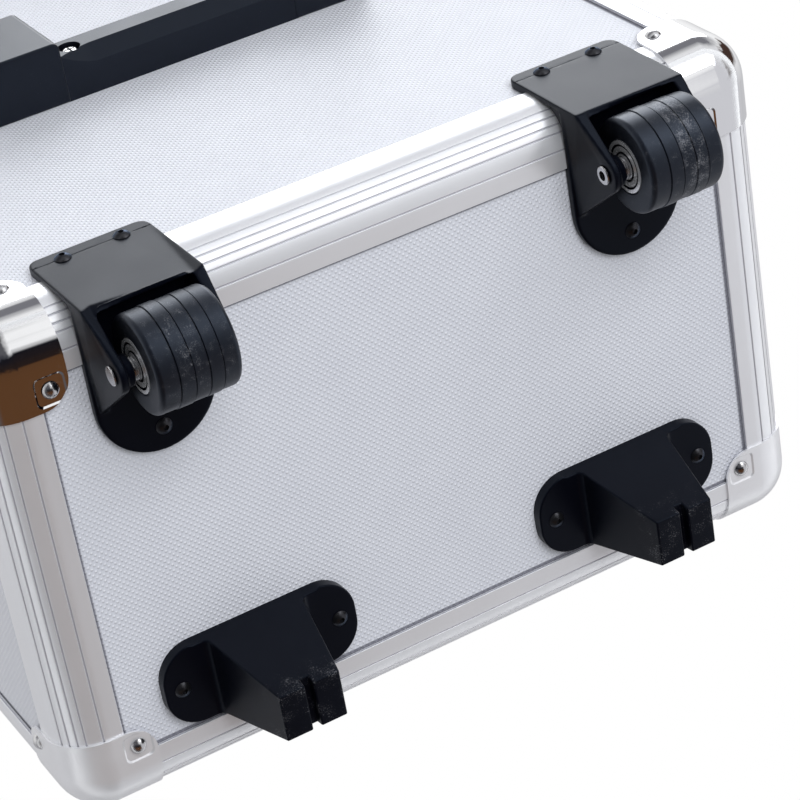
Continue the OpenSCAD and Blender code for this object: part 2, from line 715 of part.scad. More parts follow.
// Flap hinges: leaves on the outside of the rim, knuckles that share a pin
module at_hinges() for (end = [-1, 1]) translate([-hinge_x, end * hinge_y, hinge_z]) children();
module hinge_leaf(up, kept, bore_r) difference() {
  wall_x = hinge_r + knuckle_gap;
  union() {
    difference() {
      translate([wall_x - leaf_t, -hinge_len / 2, up ? part_gap / 2 : -leaf_h])
        cube([leaf_t, hinge_len, leaf_h - part_gap / 2]);
      for (part = [-1, 0, 1]) if (!kept[part + 1])
        translate([wall_x - 2 * leaf_t, (part - 0.5) * knuckle_len - knuckle_gap, -wall_x])
          cube([3 * leaf_t, knuckle_len + 2 * knuckle_gap, 2 * wall_x]);
    }
    for (part = [-1, 0, 1]) if (kept[part + 1])
      rod_y([0, (part - 0.5) * knuckle_len + knuckle_gap / 2, 0], hinge_r, knuckle_len - knuckle_gap);
  }
  rod_y([0, -hinge_len, 0], bore_r, 2 * hinge_len);
}
module body_hinge_leaves() color(steel) placed() for (side = [-1, 1]) to_side(-side)
  at_hinges() hinge_leaf(false, [true, false, true], hinge_pin_d / 2 + fit);
module hinge_pins() color(steel) placed() for (side = [-1, 1]) to_side(-side)
  at_hinges() rod_y([0, -hinge_len / 2, 0], hinge_pin_d / 2, hinge_len);

// Latches: a plate with two lugs and a pin on the flap, a hasp on the pin, a strike on the body
module plate_on_front(z0, z1, edge_z0, edge_z1) translate([-latch_mid - latch_w / 2, 0, 0]) {
  translate([0, -half_d - latch_t, z0]) cube([latch_w, latch_t, z1 - z0]);
  translate([0, -half_d, edge_z0]) cube([latch_w, panel_in, edge_z1 - edge_z0]);
}
module latch_strikes() color(steel) placed() for (side = [-1, 1]) to_side(-side) {
  strike_foot = rim_z - edge_h - strike_below;
  lock_front = hasp_axis_y - hinge_r + hasp_t + hasp_gap;
  plate_on_front(strike_foot, rim_z - strike_gap, strike_foot, rim_z - edge_h);
  rod_y([-latch_mid, lock_front, rim_z - hasp_reach / 2 - strike_gap], lock_r, -half_d - lock_front);
}
module flap_latch_plate() {
  plate_on_front(flap_z + strike_gap, flap_z + latch_plate_h, flap_z + edge_h, flap_z + latch_plate_h);
  for (end = [-1, 1]) translate([-latch_mid + end * (latch_w - lug_w) / 2, 0, hasp_axis_z]) {
    rod_x([-lug_w / 2, hasp_axis_y, 0], hinge_r, lug_w);
    translate([-lug_w / 2, hasp_axis_y, -hinge_r]) cube([lug_w, -half_d - hasp_axis_y, 2 * hinge_r]);
  }
  rod_x([-latch_mid - latch_w / 2, hasp_axis_y, hasp_axis_z], hinge_pin_d / 2, latch_w);
}
module hasp(side) color(steel) placed() to_side(-side) difference() {
  tongue_w = latch_w - 2 * hasp_shoulder;
  tongue_z = rim_z - hasp_reach;
  tongue_top = hasp_axis_z - hinge_r - knuckle_gap;
  front = hasp_axis_y - hinge_r;
  translate([-latch_mid, 0, 0]) union() {
    rod_x([-hasp_knuckle_w / 2, hasp_axis_y, hasp_axis_z], hinge_r, hasp_knuckle_w);
    translate([-hasp_knuckle_w / 2, front, tongue_top - 1])
      cube([hasp_knuckle_w, hasp_t, hinge_r + knuckle_gap + 1]);
    translate([-tongue_w / 2, front, tongue_z]) cube([tongue_w, hasp_t, tongue_top - tongue_z]);
  }
  rod_x([-latch_mid - latch_w, hasp_axis_y, hasp_axis_z], hinge_pin_d / 2 + hinge_play, 2 * latch_w);
}

// Lid flaps, drawn on the left and mirrored to the right
flap_x0 = -split_gap / 2;
module flap_top(side) color(panel_grey) placed() to_side(-side)
  translate([-panel_x, -panel_y, top_z - panel_in - panel_t])
    cube([panel_x + flap_x0 - panel_cap, 2 * panel_y, panel_t]);
module flap_side(side) color(panel_grey) placed() to_side(-side)
  translate([-half_w + panel_in, -panel_y, flap_z + panel_cap])
    cube([panel_t, 2 * panel_y, top_z - panel_edge - flap_z - panel_cap]);
module flap_ends(side) color(panel_grey) placed() to_side(-side) for (end = [-1, 1]) to_end(end)
  translate([-panel_x, half_d - panel_in - panel_t, flap_z + panel_cap])
    cube([panel_x + flap_x0 - panel_cap, panel_t, top_z - panel_edge - flap_z - panel_cap]);
module flap_frame(side) color(rail_grey) placed() to_side(-side) {
  side_len = 2 * (half_d - rail_end);
  translate([0, 0, top_z]) mirror([0, 0, 1]) {
    along_y(side_len) rail_section();
    for (end = [-1, 1]) to_end(end) along_x(-half_w + rail_end, flap_x0) rail_section();
  }
  translate([0, 0, flap_z]) mirror([0, 0, 1]) {
    along_y(side_len) edge_section();
    for (end = [-1, 1]) to_end(end) along_x(-half_w + rail_end, flap_x0) edge_section();
  }
  for (end = [-1, 1]) to_end(end) {
    post(flap_z, top_z - rail_end);
    translate([flap_x0, -half_d, flap_z + edge_h]) linear_extrude(lid_h - part_gap - edge_h - rail_end)
      mirror([1, -1]) edge_section();
  }
  translate([flap_x0, side_len / 2, top_z]) rotate([90, 0, 0]) linear_extrude(side_len)
    rotate(-90) edge_section();
}
module flap_fittings(side) color(chrome) placed() to_side(-side) {
  for (end = [-1, 1]) to_end(end) translate([-half_w, -half_d, top_z]) mirror([0, 0, 1]) {
    corner_cap();
    cap_rivets();
  }
  at_hinges() hinge_leaf(true, [false, true, false], hinge_pin_d / 2 + hinge_play);
  flap_latch_plate();
}

// Carry handle on the right flap, lying flat towards the outside
module at_brackets() for (end = [-1, 1]) to_end(end) translate([handle_x, handle_y, 0]) children();
module handle_brackets() color(steel) placed() at_brackets() {
  lug_t = 4;
  lug_r = 5;
  lug_y = leg_t / 2 + knuckle_gap;
  plate_deep = 2 * (lug_y + lug_t);
  translate([-bracket_w / 2, -plate_deep / 2, bracket_foot])
    cube([bracket_w, plate_deep, panel_in + bracket_proud]);
  upright(lug_y, lug_t) translate([0, handle_z]) {
    circle(lug_r);
    translate([-lug_r, bracket_foot - handle_z]) square([2 * lug_r, handle_z - bracket_foot]);
  }
  rod_y([0, -leg_t / 2, handle_z], handle_pin_d / 2, leg_t + lug_t);
}
module carry_handle() color(black) placed() {
  eye_r = 6;
  at_brackets() upright(-leg_t / 2, leg_t) difference() {
    translate([0, handle_z]) {
      circle(eye_r);
      translate([0, -eye_r]) square([handle_reach, 2 * eye_r]);
      translate([handle_reach, 0]) circle(handle_r);
    }
    translate([0, handle_z]) circle(handle_pin_d / 2 + hinge_play);
  }
  rod_y([handle_x + handle_reach, -handle_y, handle_z], handle_r, 2 * handle_y);
}

// Trays and the parallel arms that carry them, drawn on the right
outer_pivot = [pivot_x, pivot_z];
inner_pivot = outer_pivot + inner_shift;
arm_way = [-cos(arm_rest), sin(arm_rest)];
module ends() for (end = [-1, 1]) to_end(end) children();
module stud_y(at, y0, y1, r) rod_y([at[0], y0, at[1]], r, y1 - y0);
module tray_studs() color(steel) placed() for (side = [-1, 1]) to_side(side) ends() {
  stud_y(outer_pivot, outer_layer - arm_t, panel_back, stud_d / 2);
  stud_y(outer_pivot, outer_layer + layer_gap / 2, panel_back, spacer_r);
  stud_y(inner_pivot, inner_layer - arm_t, panel_back, stud_d / 2);
  stud_y(inner_pivot, inner_layer + layer_gap / 2, panel_back, spacer_r);
}
module tray(side, step, z0, pockets) color(lining_black) placed() to_side(side) {
  wide = tray_x1 - tray_x0;
  pocket_len = (2 * tray_end - tray_wall) / pockets;
  difference() {
    translate([tray_x0, -tray_end, z0]) cube([wide, 2 * tray_end, tray_h]);
    for (i = [0 : pockets - 1])
      translate([tray_x0 + tray_wall, -tray_end + tray_wall + i * pocket_len, z0 + tray_wall])
        cube([wide - 2 * tray_wall, pocket_len - tray_wall, tray_h]);
  }
  // The end walls carry a stud for each arm and reach round it
  ends() for (arm = [[outer_pivot, outer_layer], [inner_pivot, inner_layer]]) {
    at = arm[0] + step * arm_step * arm_way;
    stud_y(at, tray_end - tray_wall, tray_end, stud_d / 2 + stud_rim);
    stud_y(at, tray_end - tray_wall / 2, arm[1], stud_d / 2);
  }
}
module tray_arms(side, pivot, layer) color(steel) placed() to_side(side) ends()
  upright(layer - arm_t, arm_t) translate(pivot) rotate(180 - arm_rest) difference() {
    union() {
      translate([0, -arm_w / 2]) square([2 * arm_step, arm_w]);
      for (step = [0, 2]) translate([step * arm_step, 0]) circle(arm_w / 2);
    }
    for (step = [0, 1, 2]) translate([step * arm_step, 0]) circle(stud_d / 2 + stud_play);
  }

bottom_panel();
end_wall(-1);  // front_panel
end_wall(1);  // back_panel
side_wall(-1);  // left_panel
side_wall(1);  // right_panel
body_lining();
bottom_rail(-1);  // bottom_rail_front
bottom_rail(1);  // bottom_rail_back
bottom_side_rails();
corner_posts();
rim_rails();
bottom_corners();
corner_rivets();
wheel_housing(-1);  // wheel_housing_left
wheel_housing(1);  // wheel_housing_right
wheel_axles();
housing_screws();
wheel(-1);  // wheel_left
wheel_bearings(-1);  // wheel_bearings_left
wheel(1);  // wheel_right
wheel_bearings(1);  // wheel_bearings_right
foot(-1);  // foot_left
foot(1);  // foot_right
foot_screws();
trolley_base();
trolley_collar();
trolley_screws();
guide_tubes();
middle_tubes();
inner_tubes();
trolley_grip();
release_button();
body_hinge_leaves();
hinge_pins();
latch_strikes();
tray_studs();
flap_top(-1);  // flap_top_left
flap_top(1);  // flap_top_right
flap_side(-1);  // flap_side_left
flap_side(1);  // flap_side_right
flap_ends(-1);  // flap_ends_left
flap_ends(1);  // flap_ends_right
flap_frame(-1);  // flap_frame_left
flap_frame(1);  // flap_frame_right
flap_fittings(-1);  // flap_fittings_left
flap_fittings(1);  // flap_fittings_right
hasp(-1);  // hasp_left
hasp(1);  // hasp_right
handle_brackets();
carry_handle();
tray(-1, 1, tray_z, 1);  // lower_tray_left
tray(1, 1, tray_z, 1);  // lower_tray_right
tray(-1, 2, tray_z + tray_h + tray_gap, 3);  // upper_tray_left
tray(1, 2, tray_z + tray_h + tray_gap, 3);  // upper_tray_right
tray_arms(-1, outer_pivot, outer_layer);  // outer_arms_left
tray_arms(1, outer_pivot, outer_layer);  // outer_arms_right
tray_arms(-1, inner_pivot, inner_layer);  // inner_arms_left
tray_arms(1, inner_pivot, inner_layer);  // inner_arms_right
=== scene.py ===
# %% [markdown]
# A rolling makeup case, seen from below and behind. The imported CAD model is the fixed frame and
# already has the true sizes. It could be rendered as it is, but its edges are sharp and its faces
# plain. So this script gives each piece a finish, and models again the pieces whose details show.

# %% Load the frame
import json
import math
import bpy
from mathutils import Matrix, Vector


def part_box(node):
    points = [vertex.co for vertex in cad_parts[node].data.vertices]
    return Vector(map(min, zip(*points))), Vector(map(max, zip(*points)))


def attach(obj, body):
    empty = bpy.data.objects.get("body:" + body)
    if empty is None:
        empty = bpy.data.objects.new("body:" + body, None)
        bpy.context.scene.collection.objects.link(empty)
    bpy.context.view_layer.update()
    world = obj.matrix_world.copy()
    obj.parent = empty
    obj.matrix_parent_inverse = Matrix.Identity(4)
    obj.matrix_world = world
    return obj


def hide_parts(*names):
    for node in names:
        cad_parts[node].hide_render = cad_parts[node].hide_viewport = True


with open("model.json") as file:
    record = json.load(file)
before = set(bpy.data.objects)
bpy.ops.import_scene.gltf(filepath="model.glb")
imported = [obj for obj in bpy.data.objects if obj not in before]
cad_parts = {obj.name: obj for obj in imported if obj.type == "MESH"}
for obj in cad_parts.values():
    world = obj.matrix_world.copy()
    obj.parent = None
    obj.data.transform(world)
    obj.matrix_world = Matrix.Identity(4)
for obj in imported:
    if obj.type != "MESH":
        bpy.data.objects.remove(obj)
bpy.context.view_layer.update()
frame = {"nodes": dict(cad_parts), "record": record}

cad = frame["nodes"]
body_of = {n: b for b, ns in frame["record"]["behaviour"]["bodies"].items() for n in ns}
MM = 0.001
X, Y, Z = range(3)

# %% [markdown]
# A finish is a small tree of shader nodes. It could be wired node by node, which is long to read.
# So helpers do what repeats: one adds a node and fills its sockets, one adds a node group, two map
# a value to a new range, and one starts a material with a Principled shader. All patterns read
# Object coordinates, so they stay on the piece when it moves.

# %% Helpers for shader nodes
MIX_SHARE, MIX_FIRST, MIX_SECOND, MIX_COLOUR = 0, 6, 7, 2


def fill(tree, made, sockets):
    for key, value in sockets.items():
        if isinstance(value, bpy.types.NodeSocket):
            tree.links.new(value, made.inputs[key])
        else:
            made.inputs[key].default_value = value
    return made


def put(tree, kind, sockets=None, **settings):
    made = tree.nodes.new("ShaderNode" + kind)
    for key, value in settings.items():
        setattr(made, key, value)
    return fill(tree, made, sockets or {})


def use(tree, group, **sockets):
    return fill(tree, put(tree, "Group", node_tree=group), sockets).outputs


def maths(tree, operation, *values):
    return put(tree, "Math", dict(enumerate(values)), operation=operation).outputs[0]


def vectors(tree, operation, *values):
    return put(tree, "VectorMath", dict(enumerate(values)), operation=operation).outputs[0]


def scaled(tree, vector, share):
    return put(tree, "VectorMath", {0: vector, "Scale": share}, operation="SCALE").outputs[0]


def length_of(tree, vector):
    return put(tree, "VectorMath", {0: vector}, operation="LENGTH").outputs["Value"]


def axes_of(tree, vector):
    return put(tree, "SeparateXYZ", {0: vector}).outputs


def fade(tree, value, start, end, **settings):
    ends = {"Value": value, "From Min": start, "From Max": end}
    return put(tree, "MapRange", ends, **settings).outputs[0]


def between(tree, value, low, high):
    return put(tree, "MapRange", {"Value": value, "To Min": low, "To Max": high}).outputs[0]


def blend_of(tree, share, first, second):
    sockets = {MIX_SHARE: share, MIX_FIRST: first, MIX_SECOND: second}
    return put(tree, "Mix", sockets, data_type="RGBA").outputs[MIX_COLOUR]


def new_finish(name):
    finish = bpy.data.materials.new(name)
    finish.use_nodes = True
    tree = finish.node_tree
    tree.nodes.clear()
    shader = put(tree, "BsdfPrincipled")
    put(tree, "OutputMaterial", {"Surface": shader.outputs[0]})
    return finish, tree, shader, put(tree, "TexCoord").outputs["Object"]


def bumped(tree, shader, height, strength, distance):
    bump = put(tree, "Bump", {"Height": height, "Strength": strength, "Distance": distance})
    fill(tree, shader, {"Normal": bump.outputs[0]})


def tinted(tone, share=1.0):
    return [channel * share for channel in tone] + [1]


print("helpers ready")

# %% [markdown]
# Six effects are shared by several finishes, so each is a node group that puts out only values
# that change over the surface. The first is the laminate's raised dots, which lie on a square
# lattice. They could be modelled, but there are tens of thousands of them. The sum of two cosine
# waves gives the same lattice for the price of a few nodes.

# %% Raised dots
def new_group(name, takes, gives):
    group = bpy.data.node_groups.new(name, "ShaderNodeTree")
    for label, kind, value in [("Vector", "Vector", None)] + takes:
        socket = group.interface.new_socket(label, in_out="INPUT", socket_type="NodeSocket" + kind)
        if value is not None:
            socket.default_value = value
    for label in gives:
        group.interface.new_socket(label, in_out="OUTPUT", socket_type="NodeSocketFloat")
    return group, group.nodes.new("NodeGroupInput").outputs, group.nodes.new("NodeGroupOutput")


DOT_SPACING = 2 * MM
dots, taken, given = new_group("raised dots", [("Spacing", "Float", DOT_SPACING)], ["Height"])
turns = maths(dots, "DIVIDE", 2 * math.pi, taken["Spacing"])
along = axes_of(dots, scaled(dots, taken["Vector"], turns))
waves = maths(dots, "ADD", *(maths(dots, "COSINE", along[axis]) for axis in (X, Y)))
fill(dots, given, {"Height": fade(dots, waves, 0.1, 1.9, interpolation_type="SMOOTHSTEP")})
print("group:", dots.name)

# %% [markdown]
# Moulded plastic, plating and laminate all have a fine grain and wide, faint patches. A picture
# could show them, but it would have to be unwrapped on every piece. Two noises, one fine and one
# wide, need no unwrapping and never repeat.

# %% Fine grain
grain, taken, given = new_group("fine grain", [("Scale", "Float", 2500.0)], ["Height", "Patches"])
fine = put(grain, "TexNoise", {"Vector": taken["Vector"], "Scale": taken["Scale"], "Detail": 2.0})
wide = put(grain, "TexNoise", {"Vector": taken["Vector"], "Scale": 45.0, "Detail": 3.0})
fill(grain, given, {"Height": fine.outputs["Fac"], "Patches": wide.outputs["Fac"]})
print("group:", grain.name)

# %% [markdown]
# Aluminium that is pressed through a die keeps fine lines along the rail. They are far too small to
# model. The group is one noise, and each finish stretches its coordinates along the rail first, so
# that the specks of the noise become lines.

# %% Drawn lines
lines, taken, given = new_group("drawn lines", [], ["Height"])
thin = put(lines, "TexNoise", {"Vector": taken["Vector"], "Scale": 1.0, "Detail": 4.0, "Roughness": 0.7})
fill(lines, given, {"Height": thin.outputs["Fac"]})
print("group:", lines.name)

# %% [markdown]
# What touches the ground is scuffed and chalky. The marks could be painted one by one, but then
# each piece would need its own picture. Here a fine noise makes specks, a wide one decides where
# they gather, and the cover says how many are left.

# %% Chalky scuffs
scuffs, taken, given = new_group(
    "chalky scuffs", [("Scale", "Float", 900.0), ("Spread", "Float", 40.0), ("Cover", "Float", 0.5)], ["Mask"])
speck = put(scuffs, "TexNoise", {"Vector": taken["Vector"], "Scale": taken["Scale"],
                                 "Detail": 4.0, "Roughness": 0.75})
area = put(scuffs, "TexNoise", {"Vector": taken["Vector"], "Scale": taken["Spread"], "Detail": 2.0})
level = maths(scuffs, "MULTIPLY", area.outputs["Fac"], taken["Cover"])
total = maths(scuffs, "ADD", speck.outputs["Fac"], level)
fill(scuffs, given, {"Mask": fade(scuffs, total, 0.82, 1.02, interpolation_type="SMOOTHSTEP")})
print("group:", scuffs.name)

# %% [markdown]
# Where a panel runs under its rails, shade falls in a thin dark line, and here it is painted. A modelled
# gap would be too wide and too clean. The group measures how far a point lies inside the window that
# the rails leave free, and marks the last two millimetres for that painted shade.

# %% Painted shade in the seams
SEAM_FROM, SEAM_FULL = -1.7 * MM, -1.0 * MM


def past_box(tree, place, middle, half):
    off = vectors(tree, "ABSOLUTE", vectors(tree, "SUBTRACT", place, middle))
    return vectors(tree, "SUBTRACT", off, half)


seams, taken, given = new_group(
    "painted seam shade", [("Middle", "Vector", (0, 0, 0)), ("Half", "Vector", (1, 1, 1))], ["Mask"])
past = axes_of(seams, past_box(seams, taken["Vector"], taken["Middle"], taken["Half"]))
most = maths(seams, "MAXIMUM", maths(seams, "MAXIMUM", past[X], past[Y]), past[Z])
fill(seams, given, {"Mask": fade(seams, most, SEAM_FROM, SEAM_FULL)})
print("group:", seams.name)

# %% [markdown]
# The fine grooves of the rails are darkened with painted shade. The faces of the grooves could be picked out
# and given a second finish, but the rails round every edge of the case with one radius. So the depth of
# a point under that rounded skin shows where all the grooves are.

# %% Painted shade in the grooves
FACE_X, FACE_Y, MID_Y, BASE_Z, TOP_Z = 0.178, 0.1135, -0.00815, 0.0469, 0.5829
LEG, RAIL_R = 25.5 * MM, 20 * MM
BACK_Y = MID_Y + FACE_Y
MID_Z, HALF_Z = (BASE_Z + TOP_Z) / 2, (TOP_Z - BASE_Z) / 2
case_middle, case_half = Vector((0, MID_Y, MID_Z)), Vector((FACE_X, FACE_Y, HALF_Z))
grooves, taken, given = new_group("painted groove shade", [], ["Mask"])
past = past_box(grooves, taken["Vector"], case_middle, case_half - Vector((RAIL_R,) * 3))
reach = length_of(grooves, vectors(grooves, "MAXIMUM", past, (0, 0, 0)))
under = fade(grooves, reach, RAIL_R - 0.1 * MM, RAIL_R - 0.4 * MM)
within = fade(grooves, reach, RAIL_R - 0.9 * MM, RAIL_R - 0.7 * MM)
fill(grooves, given, {"Mask": maths(grooves, "MULTIPLY", under, within)})
print("group:", grooves.name)

# %% [markdown]
# The panels are thin board with a silver laminate. The dots are pressed into its face, so the
# pattern has to lie flat on each panel: a Mapping node turns it to the floor, the ends or the
# sides, and then by 45 degrees. The inner face is lined with dark cloth. A second material would
# need the faces sorted, so the finish itself turns dark at half the panel's thickness.

# %% Silver laminate
LINED_FROM, LINED_FULL = -3.0 * MM, -3.4 * MM
NO_SEAM = 1


def laminate(name, turn, middle, half, across):
    finish, tree, shader, place = new_finish(name)
    turned = {"Vector": place, "Rotation": [math.radians(angle) for angle in turn]}
    laid = put(tree, "Mapping", turned).outputs[0]
    dotted = use(tree, dots, Vector=laid, Spacing=DOT_SPACING)["Height"]
    patch = use(tree, grain, Vector=place, Scale=1800.0)
    seam = use(tree, seams, Vector=place, Middle=middle, Half=half)["Mask"]
    depth = axes_of(tree, past_box(tree, place, case_middle, case_half))[across]
    lined = fade(tree, depth, LINED_FROM, LINED_FULL)
    colour = blend_of(tree, patch["Patches"], (0.65, 0.66, 0.715, 1), (0.71, 0.72, 0.77, 1))
    # Painted highlight: the tops of the dots are painted lighter than the laminate between them.
    colour = blend_of(tree, between(tree, dotted, 0.0, 0.5), colour, (0.90, 0.905, 0.93, 1))
    # Painted shade: the strip along the rails is painted dark.
    colour = blend_of(tree, between(tree, seam, 0.0, 0.8), colour, (0.10, 0.10, 0.13, 1))
    colour = blend_of(tree, lined, colour, (0.025, 0.025, 0.028, 1))
    fill(tree, shader, {"Base Color": colour, "Roughness": between(tree, patch["Height"], 0.46, 0.58),
                        "Metallic": 0.08, "Specular IOR Level": 0.25})
    bumped(tree, shader, dotted, 0.62, 0.5 * MM)
    return finish


free_x, free_y, free_z = FACE_X - LEG, FACE_Y - LEG, HALF_Z - LEG
laminate_flat = laminate("silver laminate, floor and top", (0, 0, 45), (0, MID_Y, 0),
                         (free_x, free_y, NO_SEAM), Z)
laminate_end = laminate("silver laminate, front and back", (90, 0, 45), (0, 0, MID_Z),
                        (free_x, NO_SEAM, free_z), Y)
laminate_side = laminate("silver laminate, sides", (0, 90, 45), (0, MID_Y, MID_Z),
                         (NO_SEAM, free_y, free_z), X)
print("laminate in three lays")

# %% [markdown]
# The rails are extruded aluminium with a satin finish. A plain grey metal would look like paint:
# it is the fine lines along the run that make it satin. So the noise is stretched along each rail,
# and it changes both the roughness and the bump.

# %% Satin aluminium
FINE, DRAWN, FRAMED = 1400, 6, 900


def satin_aluminium(name, stretch):
    finish, tree, shader, place = new_finish(name)
    drawn = put(tree, "Mapping", {"Vector": place, "Scale": stretch}).outputs[0]
    line = use(tree, lines, Vector=drawn)["Height"]
    patch = use(tree, grain, Vector=place, Scale=1500.0)["Patches"]
    overlay_mask = use(tree, grooves, Vector=place)["Mask"]
    tone = (0.93, 0.935, 0.96)
    metal = blend_of(tree, patch, tinted(tone, 0.93), tinted(tone))
    # Painted shade: where the groove mask is 1, the metal is painted a darker grey.
    fill(tree, shader, {"Base Color": blend_of(tree, overlay_mask, metal, (0.60, 0.60, 0.65, 1)),
                        "Roughness": between(tree, line, 0.24, 0.40), "Metallic": 0.58})
    bumped(tree, shader, line, 0.12, 0.1 * MM)
    return finish


rail_x = satin_aluminium("satin rail, across", (DRAWN, FINE, FINE))
rail_y = satin_aluminium("satin rail, front to back", (FINE, DRAWN, FINE))
rail_z = satin_aluminium("satin rail, upright", (FINE, FINE, DRAWN))
rail_any = satin_aluminium("satin rail, framed", (FRAMED, FRAMED, FRAMED))
print("aluminium in four runs")

# %% [markdown]
# The corner caps are bright plated sheet. A mirror has hardly a colour of its own, so its detail is
# in the roughness: faint wipe marks and a few hazy patches. Steel and satin plate are the same
# finish with other values, because they differ only in tone and in how far they blur.

# %% Bright plate
def bright_plate(name, tone, rough, marks, metal=1.0):
    finish, tree, shader, place = new_finish(name)
    patch = use(tree, grain, Vector=place, Scale=marks)
    worn = use(tree, scuffs, Vector=place, Scale=700.0, Spread=60.0, Cover=0.55)["Mask"]
    base = between(tree, patch["Patches"], *rough)
    hazy = maths(tree, "ADD", base, maths(tree, "MULTIPLY", worn, 0.12))
    colour = blend_of(tree, patch["Patches"], tinted(tone, 0.95), tinted(tone))
    fill(tree, shader, {"Base Color": colour, "Roughness": hazy, "Metallic": metal})
    bumped(tree, shader, patch["Height"], 0.03, 0.1 * MM)
    return finish


chrome = bright_plate("bright corner plate", (0.88, 0.885, 0.90), (0.03, 0.08), 500.0)
steel = bright_plate("bright steel", (0.66, 0.66, 0.67), (0.16, 0.28), 1800.0)
ring_steel = bright_plate("ground bearing steel", (0.92, 0.92, 0.94), (0.20, 0.28), 2400.0, 0.70)
satin_plate = bright_plate("satin corner plate", (0.93, 0.93, 0.95), (0.28, 0.38), 900.0, 0.55)
print("plated finishes:", chrome.name, steel.name, ring_steel.name, satin_plate.name)

# %% [markdown]
# Housings, feet and handles are black moulded plastic: matt, with a fine spark-eroded grain and a
# little dust. The tips of the feet are chalky from the ground. A mask by height puts the chalk
# there, so that one finish does for every moulding.

# %% Black moulding
COOL_SHINE = (0.64, 0.77, 1.0, 1)
CHALK_FROM, CHALK_FULL = 14 * MM, 2 * MM


def black_moulding(name, tone, rough, grit, cover, shine=0.16, metal=0.0):
    finish, tree, shader, place = new_finish(name)
    patch = use(tree, grain, Vector=place, Scale=grit)
    overlay_mask = use(tree, scuffs, Vector=place, Scale=1300.0, Spread=70.0, Cover=cover)["Mask"]
    rubbed = use(tree, scuffs, Vector=place, Scale=1500.0, Spread=130.0, Cover=0.50)["Mask"]
    near_floor = fade(tree, axes_of(tree, place)[Z], CHALK_FROM, CHALK_FULL)
    chalk = maths(tree, "MAXIMUM", overlay_mask, maths(tree, "MULTIPLY", rubbed, near_floor))
    plain = blend_of(tree, patch["Patches"], tinted(tone, 0.8), tinted(tone, 1.25))
    fill(tree, shader, {"Base Color": blend_of(tree, chalk, plain, (0.14, 0.14, 0.15, 1)),
                        "Roughness": between(tree, patch["Patches"], *rough), "Metallic": metal,
                        "Specular IOR Level": shine, "Specular Tint": COOL_SHINE})
    bumped(tree, shader, patch["Height"], 0.18, 0.12 * MM)
    return finish


moulding = black_moulding("black moulding", (0.0015, 0.0019, 0.0042), (0.28, 0.38), 2600.0, 0.26)
handle_black = black_moulding("handle moulding", (0.0024, 0.0027, 0.0048), (0.26, 0.36), 2600.0, 0.28, 0.36)
tray_black = black_moulding("tray moulding", (0.018, 0.018, 0.020), (0.42, 0.55), 2200.0, 0.30)
screw_black = black_moulding("black screw", (0.05, 0.05, 0.055), (0.24, 0.34), 2400.0, 0.20, metal=0.9)
print("black finishes:", moulding.name, handle_black.name, tray_black.name, screw_black.name)

# %% [markdown]
# The treads pick up dust from the ground. One wheel is rubbed chalky along a band, the other has
# only fine specks. Two separate finishes could say so, but they share all the rest, so one finish
# takes the place and width of the band and how much chalk is in it.

# %% Worn treads
def worn_tread(name, band_x, band_half, specks, chalky):
    finish, tree, shader, place = new_finish(name)
    patch = use(tree, grain, Vector=place, Scale=1900.0)
    away = maths(tree, "ABSOLUTE", maths(tree, "SUBTRACT", axes_of(tree, place)[X], band_x))
    band = fade(tree, away, band_half * 1.25, band_half * 0.8)
    fine = use(tree, scuffs, Vector=place, Scale=3600.0, Spread=300.0, Cover=specks)["Mask"]
    rubbed = use(tree, scuffs, Vector=place, Scale=1700.0, Spread=260.0, Cover=chalky)["Mask"]
    chalk = maths(tree, "MAXIMUM", fine, maths(tree, "MULTIPLY", rubbed, band))
    plain = blend_of(tree, patch["Patches"], (0.0022, 0.0025, 0.0042, 1), (0.0045, 0.005, 0.008, 1))
    colour = blend_of(tree, between(tree, chalk, 0.0, 0.8), plain, (0.17, 0.17, 0.18, 1))
    fill(tree, shader, {"Base Color": colour, "Roughness": between(tree, patch["Patches"], 0.34, 0.48),
                        "Specular IOR Level": 0.62, "Specular Tint": COOL_SHINE})
    bumped(tree, shader, patch["Height"], 0.2, 0.12 * MM)
    return finish


tread_specked = worn_tread("wheel black, specked", 108 * MM, 6 * MM, 0.46, 0.50)
tread_rubbed = worn_tread("wheel black, rubbed", -114.5 * MM, 5 * MM, 0.44, 0.66)
print("treads:", tread_specked.name, "and", tread_rubbed.name)

# %% [markdown]
# The inside is lined with flocked cloth. Its short pile could be grown as hair, but nobody looks
# that close inside a case. A very rough shader with a little sheen scatters light in the same way.

# %% Flocked lining
lining, tree, shader, place = new_finish("flocked lining")
pile = use(tree, grain, Vector=place, Scale=1400.0)["Height"]
fibre = blend_of(tree, pile, (0.012, 0.012, 0.014, 1), (0.05, 0.05, 0.056, 1))
fill(tree, shader, {"Base Color": fibre, "Roughness": 0.95, "Sheen Weight": 0.25})
bumped(tree, shader, pile, 0.5, 0.4 * MM)
print("cloth:", lining.name)

# %% [markdown]
# Every CAD piece gets its finish by name. Finishes could be set piece by piece, but many pieces
# share one, so a list under each finish is shorter and shows what belongs together.

